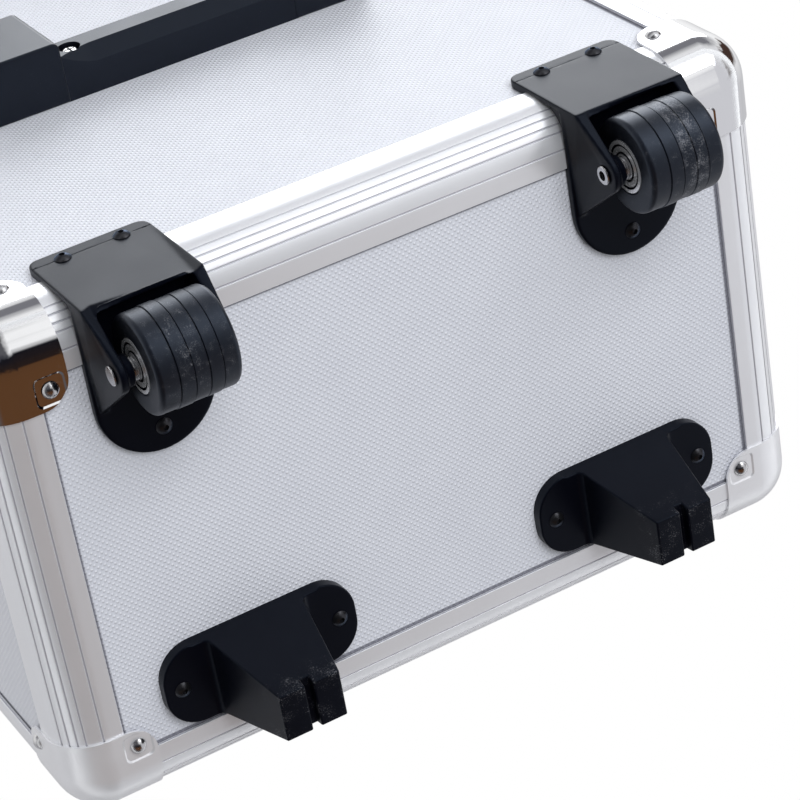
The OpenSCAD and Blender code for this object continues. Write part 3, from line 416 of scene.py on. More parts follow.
# %% Dress the CAD pieces
wear = {
    laminate_flat: ["bottom_panel", "flap_top_left", "flap_top_right"],
    laminate_end: ["front_panel", "back_panel", "flap_ends_left", "flap_ends_right"],
    laminate_side: ["left_panel", "right_panel", "flap_side_left", "flap_side_right"],
    rail_x: ["bottom_rail_front", "bottom_rail_back"],
    rail_y: ["bottom_side_rails"],
    rail_z: ["corner_posts", "guide_tubes", "middle_tubes", "inner_tubes"],
    rail_any: ["rim_rails", "flap_frame_left", "flap_frame_right"],
    chrome: ["bottom_corners", "flap_fittings_left", "flap_fittings_right", "hasp_left", "hasp_right",
             "latch_strikes"],
    ring_steel: ["wheel_bearings_left", "wheel_bearings_right"],
    steel: ["corner_rivets", "wheel_axles", "trolley_screws",
            "body_hinge_leaves", "hinge_pins", "tray_studs", "handle_brackets", "release_button",
            "outer_arms_left", "outer_arms_right", "inner_arms_left", "inner_arms_right"],
    moulding: ["wheel_housing_left", "wheel_housing_right", "foot_left", "foot_right"],
    handle_black: ["trolley_base", "trolley_collar", "trolley_grip", "carry_handle"],
    tray_black: ["lower_tray_left", "lower_tray_right", "upper_tray_left", "upper_tray_right"],
    tread_rubbed: ["wheel_left"],
    tread_specked: ["wheel_right"],
    screw_black: ["housing_screws", "foot_screws"],
    lining: ["body_lining"],
}
finish_of = {name: finish for finish, names in wear.items() for name in names}
for name, finish in finish_of.items():
    cad[name].data.materials.clear()
    cad[name].data.materials.append(finish)
print(len(finish_of), "pieces dressed")

# %% [markdown]
# Real edges are never sharp: a moulding has a radius where it leaves the tool, and sheet metal a
# softened edge. Each piece could be modelled anew, but the CAD solids are right in size. So a piece
# whose edges show is a copy of the solid with its triangles merged, its flat faces joined and its
# sharp edges bevelled. Small screw holes are left alone, because a bevel there would stop all the
# others from growing.

# %% Rounded copies
WELD = 1e-6


def clear_table():
    if bpy.context.mode != "OBJECT":
        bpy.ops.object.mode_set(mode="OBJECT")
    bpy.ops.object.select_all(action="DESELECT")


def only(piece):
    clear_table()
    piece.select_set(True)
    bpy.context.view_layer.objects.active = piece


def edit(piece, kind="EDGE", action="DESELECT"):
    only(piece)
    bpy.ops.object.mode_set(mode="EDIT")
    bpy.ops.mesh.select_mode(type=kind)
    bpy.ops.mesh.select_all(action=action)


def apply_last(piece):
    bpy.ops.object.modifier_apply(modifier=piece.modifiers[-1].name)


def round_off(width, steps, clamp=False):
    bpy.ops.mesh.bevel(offset=width, segments=steps, profile=0.5, affect="EDGES", clamp_overlap=clamp)


def flat_shading(piece, angle):
    bpy.ops.object.shade_smooth_by_angle(angle=math.radians(angle))
    bpy.ops.object.modifier_add(type="WEIGHTED_NORMAL")
    piece.modifiers[-1].keep_sharp = True
    apply_last(piece)


def drop_small_loops(mesh, smallest):
    chain = {}

    def root(i):
        while chain.setdefault(i, i) != i:
            i = chain[i]
        return i

    marked = [edge for edge in mesh.edges if edge.select]
    for edge in marked:
        first, second = (root(i) for i in edge.vertices)
        chain[first] = second
    loops = {}
    for edge in marked:
        loops.setdefault(root(edge.vertices[0]), []).extend(mesh.vertices[i].co for i in edge.vertices)
    short = {start for start, points in loops.items()
             if max(max(p[k] for p in points) - min(p[k] for p in points) for k in (X, Y, Z)) < smallest}
    for edge in marked:
        edge.select = root(edge.vertices[0]) not in short


def merged_copy(name, ending, join_flats=True):
    piece = bpy.data.objects.new(name + ending, cad[name].data.copy())
    bpy.context.scene.collection.objects.link(piece)
    only(piece)
    bpy.ops.mesh.customdata_custom_splitnormals_clear()
    edit(piece, action="SELECT")
    bpy.ops.mesh.remove_doubles(threshold=WELD)
    if join_flats:
        bpy.ops.mesh.dissolve_limited(angle_limit=math.radians(0.8))
    return piece


def rounded_copy(name, width, where=None):
    piece = merged_copy(name, "_rounded")
    bpy.ops.mesh.select_all(action="DESELECT")
    bpy.ops.mesh.edges_select_sharp(sharpness=math.radians(35))
    bpy.ops.object.mode_set(mode="OBJECT")
    drop_small_loops(piece.data, 6 * MM)
    if where:
        for edge in piece.data.edges:
            edge.select = edge.select and where(*(piece.data.vertices[i].co for i in edge.vertices))
    bpy.ops.object.mode_set(mode="EDIT")
    round_off(width, 3, clamp=True)
    bpy.ops.object.mode_set(mode="OBJECT")
    flat_shading(piece, 40)
    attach(piece, body_of[name])
    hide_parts(name)


soft_edges = {
    1.0 * MM: ["carry_handle", "release_button"],
    2.0 * MM: ["trolley_collar", "trolley_grip"],
    0.6 * MM: ["lower_tray_left", "lower_tray_right", "upper_tray_left", "upper_tray_right", "hasp_left",
               "hasp_right", "latch_strikes", "handle_brackets", "wheel_axles"],
    0.3 * MM: ["flap_fittings_left", "flap_fittings_right", "body_hinge_leaves"],
}
for width, names in soft_edges.items():
    for name in names:
        rounded_copy(name, width)
print(sum(map(len, soft_edges.values())), "pieces rounded")

# %% [markdown]
# On the rails only the free ends of the two legs are soft, where the extrusion stops on the panel.
# A bevel on all edges would fill the fine grooves. So an edge is bevelled only if both its ends lie
# at a leg's full width from a face of the case.

# %% Rail edges
def on_leg_end(*ends):
    depths = [(FACE_X - abs(p.x), FACE_Y - abs(p.y - MID_Y), p.z - BASE_Z) for p in ends]
    return any(all(abs(depth[k] - LEG) < 0.05 * MM for depth in depths) for k in (X, Y, Z))


rails = ("bottom_rail_front", "bottom_rail_back", "bottom_side_rails", "corner_posts")
for name in rails:
    rounded_copy(name, 0.6 * MM, where=on_leg_end)
print(len(rails), "sets of rails with soft leg ends")

# %% [markdown]
# The wheels are moulded rollers. A wheel could be spun from a profile, but it is quicker to start
# from a cylinder and cut it at the grooves. The middle loop of a groove is drawn in, and the bands
# between differ a little in radius, as on the worn wheels in the picture. The end faces are inset
# for the bearing, pushed in and joined through the hub.

# %% Wheels
SAME = 1e-5


def near(first, second, gap=SAME):
    return abs(first - second) < gap


def pick(piece, test, kind="FACE"):
    edit(piece, kind)
    bpy.ops.object.mode_set(mode="OBJECT")
    mesh = piece.data
    if kind == "FACE":
        for face in mesh.polygons:
            face.select = test(face.center, face.normal)
    elif kind == "EDGE":
        for edge in mesh.edges:
            edge.select = test(*(mesh.vertices[i].co for i in edge.vertices))
    else:
        for corner in mesh.vertices:
            corner.select = test(corner.co)
    bpy.ops.object.mode_set(mode="EDIT")


def slice_at(piece, place, way, test=lambda c, n: True):
    pick(piece, test)
    bpy.ops.mesh.bisect(plane_co=place, plane_no=way)


def settle(piece, node, smooth=35):
    only(piece)
    bpy.ops.object.mode_set(mode="EDIT")
    bpy.ops.mesh.select_all(action="SELECT")
    bpy.ops.mesh.remove_doubles(threshold=WELD)
    bpy.ops.mesh.normals_make_consistent(inside=False)
    bpy.ops.object.mode_set(mode="OBJECT")
    flat_shading(piece, smooth)
    piece.data.materials.clear()
    piece.data.materials.append(finish_of[node])
    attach(piece, body_of[node])
    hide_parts(node)
    return piece


def rod(name, middle, radius, length, turn, sides):
    clear_table()
    bpy.ops.mesh.primitive_cylinder_add(vertices=sides, radius=radius, depth=length, location=middle,
                                        rotation=turn)
    piece = bpy.context.object
    piece.name = name
    bpy.ops.object.transform_apply(location=True, rotation=True, scale=True)
    return piece


def rod_along_x(name, middle, radius, length):
    return rod(name, middle, radius, length, (0, math.pi / 2, 0), 96)


def middle_of(node):
    low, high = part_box(node)
    return (low + high) / 2, high - low


GROOVES = (-0.275, -0.11, 0.07, 0.25)
GROOVE_HALF, GROOVE_DRAW = 0.3 * MM, 0.970
BAND_TRIM = (0.982, 0.993, 0.986, 1.0, 0.984)
BEARING_R, BEARING_LONG, HUB_R = 11 * MM, 7 * MM, 6 * MM
for node in ("wheel_left", "wheel_right"):
    middle, size = middle_of(node)
    wheel = rod_along_x(node + "_worn", middle, size.z / 2, size.x)
    groove_xs = [middle.x + share * size.x for share in GROOVES]
    for x in groove_xs:
        for step in (-GROOVE_HALF, 0, GROOVE_HALF):
            slice_at(wheel, (x + step, 0, 0), (1, 0, 0))
    rims = (middle.x - size.x / 2, middle.x + size.x / 2)
    marks = [rims[0], *groove_xs, rims[1]]
    for trim, start, end in zip(BAND_TRIM, marks, marks[1:]):
        outer = [x for x in rims if near(x, start) or near(x, end)]
        pick(wheel, lambda p: start + 0.1 * MM < p.x < end - 0.1 * MM
             or any(near(p.x, x) for x in outer), "VERT")
        bpy.ops.transform.resize(value=(1, trim, trim), center_override=middle)
    for x in groove_xs:
        pick(wheel, lambda p: near(p.x, x), "VERT")
        bpy.ops.transform.resize(value=(1, GROOVE_DRAW, GROOVE_DRAW), center_override=middle)
    for way, face_x in zip((-1, 1), rims):
        pick(wheel, lambda a, b: near(a.x, face_x) and near(b.x, face_x), "EDGE")
        round_off(2.2 * MM, 5)
        pick(wheel, lambda c, n: near(c.x, face_x) and abs(n.x) > 0.99)
        hub = Vector((face_x, middle.y, middle.z))
        rim_r = max((wheel.data.vertices[i].co - hub).length
                    for face in wheel.data.polygons if face.select for i in face.vertices)
        bpy.ops.mesh.inset(thickness=rim_r - BEARING_R - 0.8 * MM)
        bpy.ops.mesh.inset(thickness=0.7 * MM, depth=-0.5 * MM)
        bpy.ops.mesh.extrude_region_move(TRANSFORM_OT_translate={"value": (-way * BEARING_LONG, 0, 0)})
        bpy.ops.mesh.inset(thickness=BEARING_R + 0.1 * MM - HUB_R)
    pick(wheel, lambda c, n: abs(n.x) > 0.99 and (c - middle).length > 5 * MM
         and math.hypot(c.y - middle.y, c.z - middle.z) < 0.3 * MM)
    bpy.ops.mesh.bridge_edge_loops()
    settle(wheel, node)
    print(wheel.name, len(wheel.data.polygons), "faces, five bands")

# %% [markdown]
# A wheel runs on two shielded ball bearings. The balls are hidden behind the shields, so a bearing is
# one cylinder whose end faces are inset step by step: the outer ring, a gap, the shield, a gap and the
# inner ring. The bore is bridged, and the gaps get the black moulding as painted shade. One is modelled
# and copied to the other end of the wheel.

# %% Bearings
RINGS = ((1.5, 0.0), (0.25, -0.8), (0.45, 0.0), (0.25, 0.6), (2.2, 0.0), (0.25, -0.6), (0.45, 0.0), (0.25, 0.8))
PAINTED_SHADE_GAPS = ((8.55 * MM, 9.5 * MM), (5.4 * MM, 6.35 * MM))
BORE_R = 3.05 * MM


def moved_copy(piece, shift):
    only(piece)
    bpy.ops.object.duplicate()
    bpy.ops.object.mode_set(mode="EDIT")
    bpy.ops.mesh.select_all(action="SELECT")
    bpy.ops.transform.translate(value=shift)
    bpy.ops.object.mode_set(mode="OBJECT")
    return bpy.context.object


def join(piece, others):
    only(piece)
    for other in others:
        other.select_set(True)
    bpy.ops.object.join()


for node in ("wheel_bearings_left", "wheel_bearings_right"):
    middle, size = middle_of(node)
    place = Vector((middle.x + size.x / 2 - BEARING_LONG / 2, middle.y, middle.z))
    bearing = rod_along_x(node + "_ringed", place, BEARING_R, BEARING_LONG)
    for way in (-1, 1):
        pick(bearing, lambda c, n: n.x * way > 0.99)
        for width, rise in RINGS:
            bpy.ops.mesh.inset(thickness=width * MM, depth=rise * MM)
        left = BEARING_R - sum(width for width, rise in RINGS) * MM
        bpy.ops.mesh.inset(thickness=left - BORE_R)
    pick(bearing, lambda c, n: abs(n.x) > 0.99 and math.hypot(c.y - place.y, c.z - place.z) < 0.2 * MM)
    bpy.ops.mesh.bridge_edge_loops()
    join(bearing, [moved_copy(bearing, (BEARING_LONG - size.x, 0, 0))])
    settle(bearing, node, 25)
    # Painted shade: the faces of the gaps between the rings get the black moulding.
    bearing.data.materials.append(moulding)
    for face in bearing.data.polygons:
        off_axis = math.hypot(face.center.y - place.y, face.center.z - place.z)
        face.material_index = int(any(low < off_axis < high for low, high in PAINTED_SHADE_GAPS))
    print(bearing.name, len(bearing.data.polygons), "faces in two bearings")

# %% [markdown]
# A foot is one moulding: a plate on the bottom panel and a tapered block that stands on its slotted
# tip. It could be joined from two solids, but then the seam between them would show. So it grows from
# one cube: the wings are extruded to both sides and rounded, the block is extruded down and drawn in
# to the tip, and the slot is cut with a bar.

# %% Feet
TOP_W, TIP_W, TIP_D, TIP_IN, PLATE_T = 43.5 * MM, 27 * MM, 21.5 * MM, 9.5 * MM, 5 * MM
SLOT_HALF = Vector((1.9, 30, 4.5)) * MM


def box_between(name, low, high):
    clear_table()
    middle = [(start + end) / 2 for start, end in zip(low, high)]
    size = [end - start for start, end in zip(low, high)]
    bpy.ops.mesh.primitive_cube_add(size=1, location=middle, scale=size)
    piece = bpy.context.object
    piece.name = name
    bpy.ops.object.transform_apply(location=True, rotation=True, scale=True)
    return piece


def cut_with(piece, tool):
    only(piece)
    bpy.ops.object.modifier_add(type="BOOLEAN")
    cut = piece.modifiers[-1]
    cut.operation, cut.object = "DIFFERENCE", tool
    apply_last(piece)
    bpy.data.objects.remove(tool)


def foot(node):
    low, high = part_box(node)
    mid_x, mid_y, _ = (low + high) / 2
    deep = high.y - low.y
    foot_z = high.z - PLATE_T
    piece = box_between(node + "_moulded", (mid_x - TOP_W / 2, low.y, foot_z),
                        (mid_x + TOP_W / 2, high.y, high.z))
    wing = (high.x - low.x - TOP_W) / 2
    for way in (-1, 1):
        pick(piece, lambda c, n: n.x * way > 0.9)
        bpy.ops.mesh.extrude_region_move(TRANSFORM_OT_translate={"value": (way * wing, 0, 0)})
    pick(piece, lambda a, b: any(near(a.x, x) for x in (low.x, high.x)) and near(a.x, b.x)
         and near(a.y, b.y), "EDGE")
    round_off(deep * 0.42, 12)
    pick(piece, lambda c, n: n.z < -0.9 and abs(c.x - mid_x) < 5 * MM)
    bpy.ops.mesh.extrude_region_move(TRANSFORM_OT_translate={"value": (0, 0, low.z - foot_z)})
    bpy.ops.transform.resize(value=(TIP_W / TOP_W, TIP_D / deep, 1), center_override=(mid_x, mid_y, low.z))
    tip_y = high.y - TIP_IN - TIP_D / 2
    bpy.ops.transform.translate(value=(0, tip_y - mid_y, 0))
    pick(piece, lambda p: near(p.z, foot_z) and near(p.y, high.y), "VERT")
    bpy.ops.transform.translate(value=(0, -TIP_IN / (high.z - low.z) * PLATE_T, 0))
    tip = Vector((mid_x, tip_y, low.z))
    cut_with(piece, box_between("slot", tip - SLOT_HALF, tip + SLOT_HALF))
    pick(piece, lambda a, b: near(a.x, b.x, 0.1 * MM) and all(
        near(p.z, foot_z) and near(abs(p.x - mid_x), TOP_W / 2, 0.1 * MM) for p in (a, b)), "EDGE")
    round_off(2.5 * MM, 4)
    edit(piece)
    bpy.ops.mesh.edges_select_sharp(sharpness=math.radians(35))
    bpy.ops.object.mode_set(mode="OBJECT")
    for edge in piece.data.edges:
        if all(piece.data.vertices[i].co.z > high.z - 0.1 * MM for i in edge.vertices):
            edge.select = False
    bpy.ops.object.mode_set(mode="EDIT")
    round_off(0.7 * MM, 3, clamp=True)
    return settle(piece, node, 40)


for node in ("foot_left", "foot_right"):
    print(foot(node).name, "stands on its slotted tip")

# %% [markdown]
# A wheel housing is one moulding with soft edges all over. Bevels run into each other where its ears,
# lobe and plate meet. So it starts from a merged copy of the solid: the ears flare out to the plate's
# lower corners, and two cheeks close the corner between the plate, the lobe and the rail. A voxel
# remesh melts them into one skin, which is smoothed until its edges are round, and thinned out. A fine
# parting line crosses the plate at the screws.

# %% Wheel housings
PLATE_Y = BACK_Y + 2.2 * MM
EAR_IN, EAR_OUT, PLATE_OUT = 20.5 * MM, 23.7 * MM, 25.5 * MM
WINDOW_Z, LINE_Z = BASE_Z - 12.4 * MM, BASE_Z + 32.6 * MM
ON_EAR = 0.02 * MM
LINE_HALF, LINE_DEEP = 0.2 * MM, 0.15 * MM


def cheek(mid_x, way):
    axis = Vector((mid_x, BACK_Y - RAIL_R, BASE_Z + RAIL_R))
    outer = mid_x + way * EAR_OUT
    xs = sorted((mid_x + way * EAR_IN, outer))
    piece = box_between("cheek", (xs[0], axis.y + 3 * MM, BASE_Z - 1 * MM),
                        (xs[1], PLATE_Y - 1.2 * MM, axis.z - 3 * MM))
    cut_with(piece, rod_along_x("drum", axis, RAIL_R + 0.15 * MM, 80 * MM))
    edit(piece, action="SELECT")
    bpy.ops.mesh.quads_convert_to_tris()
    pick(piece, lambda p: near(p.x, outer) and p.y > BACK_Y - 1 * MM, "VERT")
    bpy.ops.transform.translate(value=(way * 1.75 * MM, 0, 0))
    bpy.ops.object.mode_set(mode="OBJECT")
    return piece


def wheel_housing(node):
    mid_x = middle_of(node)[0].x
    piece = merged_copy(node, "_moulded")
    for way in (-1, 1):
        pick(piece, lambda p: near((p.x - mid_x) * way, EAR_OUT, ON_EAR) and p.y > PLATE_Y - 3 * MM, "VERT")
        bpy.ops.transform.translate(value=(way * (PLATE_OUT - EAR_OUT), 0, 0))
    bpy.ops.mesh.select_all(action="SELECT")
    bpy.ops.mesh.remove_doubles(threshold=SAME)
    pick(piece, lambda a, b: all(near(abs(p.x - mid_x), EAR_IN, ON_EAR) and near(p.z, WINDOW_Z, ON_EAR)
                                 for p in (a, b)), "EDGE")
    round_off(2.5 * MM, 4)
    bpy.ops.object.mode_set(mode="OBJECT")
    join(piece, [cheek(mid_x, way) for way in (-1, 1)])
    piece.data.remesh_voxel_size = 0.4 * MM
    piece.data.remesh_voxel_adaptivity = 0
    bpy.ops.object.voxel_remesh()
    edit(piece, action="SELECT")
    bpy.ops.mesh.vertices_smooth(factor=0.5, repeat=14)
    bpy.ops.object.mode_set(mode="OBJECT")
    bpy.ops.object.modifier_add(type="DECIMATE")
    piece.modifiers[-1].ratio = 0.3
    apply_last(piece)
    for step in (-LINE_HALF, 0, LINE_HALF):
        slice_at(piece, (0, 0, LINE_Z + step), (0, 0, 1),
                 lambda c, n: n.y > 0.95 and c.z > WINDOW_Z + 10 * MM)
    pick(piece, lambda p: near(p.z, LINE_Z) and p.y > PLATE_Y - 0.3 * MM, "VERT")
    bpy.ops.transform.translate(value=(0, -LINE_DEEP, 0))
    bpy.ops.object.mode_set(mode="OBJECT")
    return settle(piece, node, 40)


for node in ("wheel_housing_left", "wheel_housing_right"):
    housing = wheel_housing(node)
    print(housing.name, len(housing.data.polygons), "faces, with two cheeks")

# %% [markdown]
# The lower bracket of the trolley is a bar between two blocks that hold the tubes. The bar's chamfer
# runs out in a sweep before the screws, which a plain bevel can't do. So that edge is divided along
# the bar, and each station is drawn in by its own share.

# %% Trolley bar
TUBE_MID, BLOCK_HALF = 73 * MM, 18 * MM
BAR_HALF, BAR_BACK = TUBE_MID - BLOCK_HALF, BACK_Y + 19 * MM
CHAMFER, CHAMFER_DEEP, RUN_OUT, LEFT_OVER = 5 * MM, 7 * MM, 14 * MM, 0.3 * MM
SCREW_X, SCREW_UP, RECESS_R = BAR_HALF - 7 * MM, 8.5 * MM, 5 * MM
STATIONS = [way * x * MM for way in (-1, 1) for x in (40, 43, 46, 49, 52, 54.5)]
AROUND_Y = (math.pi / 2, 0, 0)
low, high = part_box("trolley_base")
bar_z, bar_end = low.z + 0.7 * MM, BAR_HALF + 1 * MM
bar = box_between("trolley_base_moulded", (-bar_end, low.y, bar_z), (bar_end, BAR_BACK, low.z + 17 * MM))
slice_at(bar, (0, 0, bar_z + CHAMFER), (0, 0, 1))
slice_at(bar, (0, BAR_BACK - CHAMFER_DEEP, 0), (0, 1, 0))
for x in STATIONS:
    slice_at(bar, (x, 0, 0), (1, 0, 0))


def shift_edge(x, y, z, shift):
    pick(bar, lambda p: near(p.x, x) and near(p.y, y) and near(p.z, z), "VERT")
    bpy.ops.transform.translate(value=shift)


for x in STATIONS + [-bar_end, bar_end]:
    share = min(1, max(0, (BAR_HALF - abs(x)) / RUN_OUT)) ** 0.8
    shift_edge(x, BAR_BACK, bar_z + CHAMFER, (0, 0, -(1 - share) * (CHAMFER - LEFT_OVER)))
    shift_edge(x, BAR_BACK - CHAMFER_DEEP, bar_z, (0, (1 - share) * (CHAMFER_DEEP - LEFT_OVER), 0))
    shift_edge(x, BAR_BACK, bar_z, (0, -share * CHAMFER_DEEP / 2, share * CHAMFER / 2))
for way in (-1, 1):
    recess = (way * SCREW_X, BAR_BACK, low.z + SCREW_UP)
    cut_with(bar, rod("recess", recess, RECESS_R, 18 * MM, AROUND_Y, 48))
edit(bar)
bpy.ops.mesh.edges_select_sharp(sharpness=math.radians(30))
round_off(0.6 * MM, 3, clamp=True)
print(bar.name, len(STATIONS), "stations along the chamfer")

# %% [markdown]
# Each block is a moulded cup for a tube. It could be an extruded ring with a floor, but a cube with
# rounded upright edges and a pocket cut from above is the same shape in two steps. Both blocks are
# then joined with the bar into one piece, as on the real bracket.

# %% Trolley blocks
def upright(a, b):
    return near(a.x, b.x) and near(a.y, b.y)


blocks = []
for way in (-1, 1):
    mid = way * TUBE_MID
    block = box_between("block", (mid - BLOCK_HALF, low.y, low.z), (mid + BLOCK_HALF, high.y, high.z))
    pick(block, lambda a, b: upright(a, b) and a.y > high.y - SAME, "EDGE")
    round_off(3 * MM, 5)
    pocket = box_between("pocket", (mid - 12 * MM, BACK_Y + 5 * MM, low.z + 8 * MM),
                         (mid + 12 * MM, BACK_Y + 21 * MM, high.z + 5 * MM))
    pick(pocket, upright, "EDGE")
    round_off(5 * MM, 6)
    bpy.ops.object.mode_set(mode="OBJECT")
    cut_with(block, pocket)
    edit(block)
    bpy.ops.mesh.edges_select_sharp(sharpness=math.radians(40))
    round_off(1.2 * MM, 3, clamp=True)
    bpy.ops.object.mode_set(mode="OBJECT")
    blocks.append(block)
join(bar, blocks)
settle(bar, "trolley_base", 40)
print(bar.name, len(bar.data.polygons), "faces with both blocks")

# %% [markdown]
# Four cross-head screws hold the bracket and the collar. Each stands in a deep recess and has a tall
# head. One is a cylinder with a rounded rim and a cross cut by two bars. The others are its copies, so
# that all four have the same head.

# %% Trolley screws
HEAD_R, HEAD_H, SUNK = 3.7 * MM, 7.8 * MM, 9 * MM
CROSS_LONG, CROSS_WIDE, CROSS_DEEP = 2.4 * MM, 0.5 * MM, 1.8 * MM
COLLAR_BACK = BACK_Y + 26 * MM
screws_low, screws_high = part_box("trolley_screws")
lower_y, lower_z = BAR_BACK - SUNK, low.z + SCREW_UP
upper_y, upper_z = COLLAR_BACK - SUNK, screws_low.z + screws_high.z - lower_z
top = Vector((SCREW_X, lower_y + HEAD_H, lower_z))
screw = rod("trolley_screws_cross", top - Vector((0, HEAD_H / 2, 0)), HEAD_R, HEAD_H, AROUND_Y, 48)
pick(screw, lambda a, b: near(a.y, top.y) and near(b.y, top.y), "EDGE")
round_off(1.5 * MM, 5)
for long, wide in ((CROSS_LONG, CROSS_WIDE), (CROSS_WIDE, CROSS_LONG)):
    half = Vector((long, CROSS_DEEP, wide))
    cut_with(screw, box_between("cross_bar", top - half, top + half))
places = ((-1, lower_y, lower_z), (1, upper_y, upper_z), (-1, upper_y, upper_z))
join(screw, [moved_copy(screw, (way * SCREW_X - SCREW_X, y - lower_y, z - lower_z)) for way, y, z in places])
settle(screw, "trolley_screws", 30)
print(screw.name, "four cross heads, upper pair at", round(upper_z, 4))

# %% [markdown]
# The bottom tab of a corner cap is pressed in around its rivet, so that the rivet sits in a small step.
# A bump could fake it, but the step's edge catches the light. So a block with rounded corners and
# sloping sides is sunk into each tab and cut away. The front caps are satin, the back ones bright.

# %% Pressed tabs
RIVET_IN, PRESS_HALF, PRESS_DEEP, PRESS_SLOPE = 30 * MM, 6.5 * MM, 0.5 * MM, 0.8 * MM
cap_z = BASE_Z - 1 * MM
shrink = 1 - PRESS_SLOPE / PRESS_HALF
caps = merged_copy("bottom_corners", "_pressed", join_flats=False)
for side, end in ((-1, -1), (-1, 1), (1, -1), (1, 1)):
    x, y = side * (FACE_X - RIVET_IN), MID_Y + end * (FACE_Y - RIVET_IN)
    block = box_between("press", (x - PRESS_HALF, y - PRESS_HALF, cap_z - 0.05 * MM),
                        (x + PRESS_HALF, y + PRESS_HALF, cap_z + PRESS_DEEP))
    pick(block, upright, "EDGE")
    round_off(2.5 * MM, 5)
    pick(block, lambda c, n: n.z > 0.9)
    bpy.ops.transform.resize(value=(shrink, shrink, 1), center_override=(x, y, cap_z))
    bpy.ops.object.mode_set(mode="OBJECT")
    cut_with(caps, block)
settle(caps, "bottom_corners", 28)
caps.data.materials.append(satin_plate)
for face in caps.data.polygons:
    face.material_index = int(face.center.y < 0)
print(caps.name, len(caps.data.polygons), "faces, four pressed tabs")

# %% [markdown]
# The camera looks up at the case from below and behind, as in the picture. It could be aimed by hand,
# but its place and turn were worked out from the four corners of the bottom, so they are written down
# as the directions of its right side and its top.

# %% Camera
camera_data = bpy.data.cameras.new("camera")
camera_data.sensor_width = 36
camera_data.lens = 132.3
camera = bpy.data.objects.new("camera", camera_data)
bpy.context.scene.collection.objects.link(camera)
right = Vector((-0.85698, -0.15168, -0.49252))
up = Vector((-0.36672, 0.85095, 0.37604))
turned = Matrix((right, up, right.cross(up))).transposed().to_4x4()
camera.matrix_world = Matrix.Translation((0.4337, 0.60215, -0.8770)) @ turned
bpy.context.scene.camera = camera
print("camera lens", camera_data.lens)

# %% [markdown]
# The floor is plain and pale and takes the shadow of the case. A solid floor would hide the case from
# a camera below it. So it shows only from above, to the camera and, outside the footprint, in
# reflections, and it fades out away from the case.

# %% Floor
clear_table()
bpy.ops.mesh.primitive_plane_add(size=6)
floor = bpy.context.object
floor.name = "studio_floor"
floor_paint = bpy.data.materials.new("studio floor")
floor_paint.use_nodes = True
tree = floor_paint.node_tree
tree.nodes.clear()
matt = put(tree, "BsdfDiffuse", {"Color": (0.86, 0.86, 0.86, 1)})
path = put(tree, "LightPath").outputs
above = maths(tree, "SUBTRACT", 1.0, put(tree, "NewGeometry").outputs["Backfacing"])
far = length_of(tree, put(tree, "TexCoord").outputs["Object"])
close = fade(tree, far, 2.2, 0.7, interpolation_type="SMOOTHSTEP")
mirrored = maths(tree, "MULTIPLY", path["Is Glossy Ray"], fade(tree, far, 0.25, 0.40))
shown = maths(tree, "MAXIMUM", path["Is Camera Ray"], mirrored)
shown = maths(tree, "MULTIPLY", maths(tree, "MULTIPLY", shown, above), close)
clear = put(tree, "BsdfTransparent")
mixed = put(tree, "MixShader", {0: shown, 1: clear.outputs[0], 2: matt.outputs[0]})
put(tree, "OutputMaterial", {"Surface": mixed.outputs[0]})
floor.data.materials.append(floor_paint)
print("floor at z = 0")

# %% [markdown]
# Chrome shows little but what stands around it, and in an all-white room it would look like paper. A
# picture of a room could be wrapped around the scene. Here a few soft zones of the world do it: a pale
# table, some darker gaps, and a dark brown room low beside the case. A little noise bends their borders.

# %% Room for the reflections
world = bpy.data.worlds.new("studio")
bpy.context.scene.world = world
world.use_nodes = True
tree = world.node_tree
tree.nodes.clear()
ray = put(tree, "TexCoord").outputs["Generated"]
noise = put(tree, "TexNoise", {"Vector": ray, "Scale": 3.5, "Detail": 3.0, "Roughness": 0.6})
clutter = scaled(tree, vectors(tree, "SUBTRACT", noise.outputs["Color"], (0.5, 0.5, 0.5)), 0.35)
toward = axes_of(tree, vectors(tree, "ADD", ray, clutter))


def zone(*limits):
    share, *others = [fade(tree, toward[axis], start, end) for axis, start, end in limits]
    for other in others:
        share = maths(tree, "MULTIPLY", share, other)
    return share


low_right = ((X, -0.25, 0.0), (Z, 0.3, -0.2))
gap_behind = ((Z, -0.05, 0.30), (Z, 0.68, 0.52), (Y, 0.30, 0.6))
low_left = ((X, -0.40, -0.50), (Z, 0.1, -0.1))
streak_left = ((X, -0.84, -0.90), (Y, -0.12, 0.02))
low_room = ((Z, -0.5, -0.72), (Y, 0.5, 0.3), (X, -0.41, -0.31))
around = blend_of(tree, zone((Y, -0.55, 0.1)), (0.50, 0.50, 0.52, 1), (1, 1, 1, 1))
around = blend_of(tree, zone(*low_right), around, (0.10, 0.10, 0.11, 1))
around = blend_of(tree, zone(*gap_behind), around, (0.20, 0.20, 0.22, 1))
around = blend_of(tree, zone(*low_left), around, (0.66, 0.66, 0.69, 1))
around = blend_of(tree, zone(*streak_left), around, (0.06, 0.035, 0.028, 1))
room = put(tree, "ValToRGB", {0: zone((Y, -0.6, 0.6))})
stops = room.color_ramp.elements
stops[0].color, stops[-1].color = (0.11, 0.048, 0.020, 1), (0.05, 0.055, 0.075, 1)
browns = ((0.33, (0.10, 0.045, 0.019)), (0.43, (0.02, 0.012, 0.010)), (0.75, (0.008, 0.008, 0.012)))
for stop, tone in browns:
    stops.new(stop).color = tinted(tone)
around = blend_of(tree, zone(*low_room), around, room.outputs[0])
print("reflections: a pale table, four darker zones and a brown room")

# %% [markdown]
# The world also lights the case softly from all sides and is the white background. One colour can't be
# all three, so the kind of ray decides: the camera sees white, mirrors see the room, and everything
# else gets a plain, soft light.

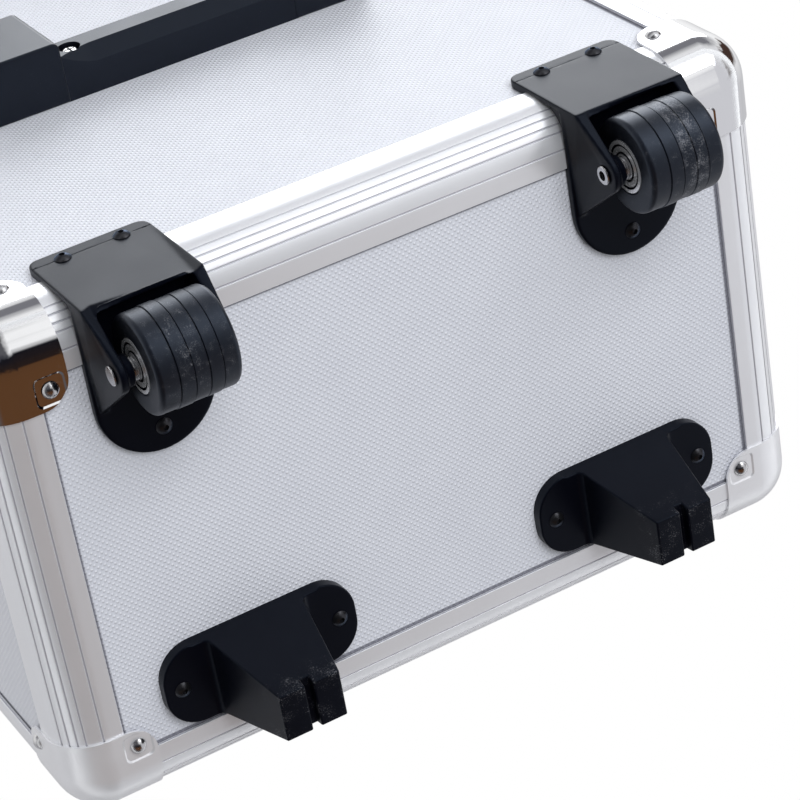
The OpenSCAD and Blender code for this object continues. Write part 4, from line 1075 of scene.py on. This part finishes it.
# %% World
path = put(tree, "LightPath").outputs
sharp = maths(tree, "MAXIMUM", path["Is Camera Ray"], path["Is Glossy Ray"])
sharp = maths(tree, "MAXIMUM", sharp, path["Is Transmission Ray"])
soft = put(tree, "Background", {"Color": (0.96, 0.98, 1.0, 1), "Strength": 0.42})
white = put(tree, "Background", {"Color": (1, 1, 1, 1), "Strength": 1.0})
mirror = put(tree, "Background", {"Color": around, "Strength": 1.0})
seen = put(tree, "MixShader", {0: path["Is Camera Ray"], 1: mirror.outputs[0], 2: white.outputs[0]})
mixed = put(tree, "MixShader", {0: sharp, 1: soft.outputs[0], 2: seen.outputs[0]})
put(tree, "OutputWorld", {"Surface": mixed.outputs[0]})
bpy.context.scene.view_settings.view_transform = "Standard"
print("world: white to the camera, a room to mirrors, soft light to the rest")

# %% [markdown]
# Studio light comes from large soft boxes, which give broad highlights and soft shadows. A small lamp
# would be brighter to look at but hard-edged. Each box is a square area lamp that is aimed at the case.
# Those that would show as white squares in the chrome are hidden from reflections.

# %% Lamps
def soft_box(name, place, target, size, watts, tint=(1, 1, 1), mirrored=False):
    lamp_data = bpy.data.lights.new(name, "AREA")
    lamp_data.shape = "RECTANGLE"
    lamp_data.size = lamp_data.size_y = size
    lamp_data.energy = watts
    lamp_data.color = tint
    lamp = bpy.data.objects.new(name, lamp_data)
    lamp.visible_glossy = mirrored
    bpy.context.scene.collection.objects.link(lamp)
    aim = Vector(target) - Vector(place)
    lamp.matrix_world = Matrix.Translation(place) @ aim.to_track_quat("-Z", "Y").to_matrix().to_4x4()


COOL = (0.95, 0.97, 1.0)
heart = (0, 0, 0.28)
soft_box("key_behind", (-1.2, 1.3, 2.05), (0, 0.05, 0.15), 1.6, 27, COOL, mirrored=True)
soft_box("overhead", (-1.15, 1.8, -0.9), (0, 0.05, 0.1), 1.1, 7, COOL, mirrored=True)
soft_box("fill_below", (0.0, 1.55, -1.62), (0, 0, 0.05), 1.4, 39, (0.94, 0.96, 1.0))
soft_box("top", (0.2, -0.6, 2.6), heart, 2.2, 22)
soft_box("front", (-0.9, -2.2, 1.3), heart, 1.8, 26)
soft_box("right_side", (2.3, -0.4, 0.8), heart, 1.4, 14)
soft_box("left_side", (-2.3, -0.2, 0.9), heart, 1.4, 14)
print("seven soft lamps")
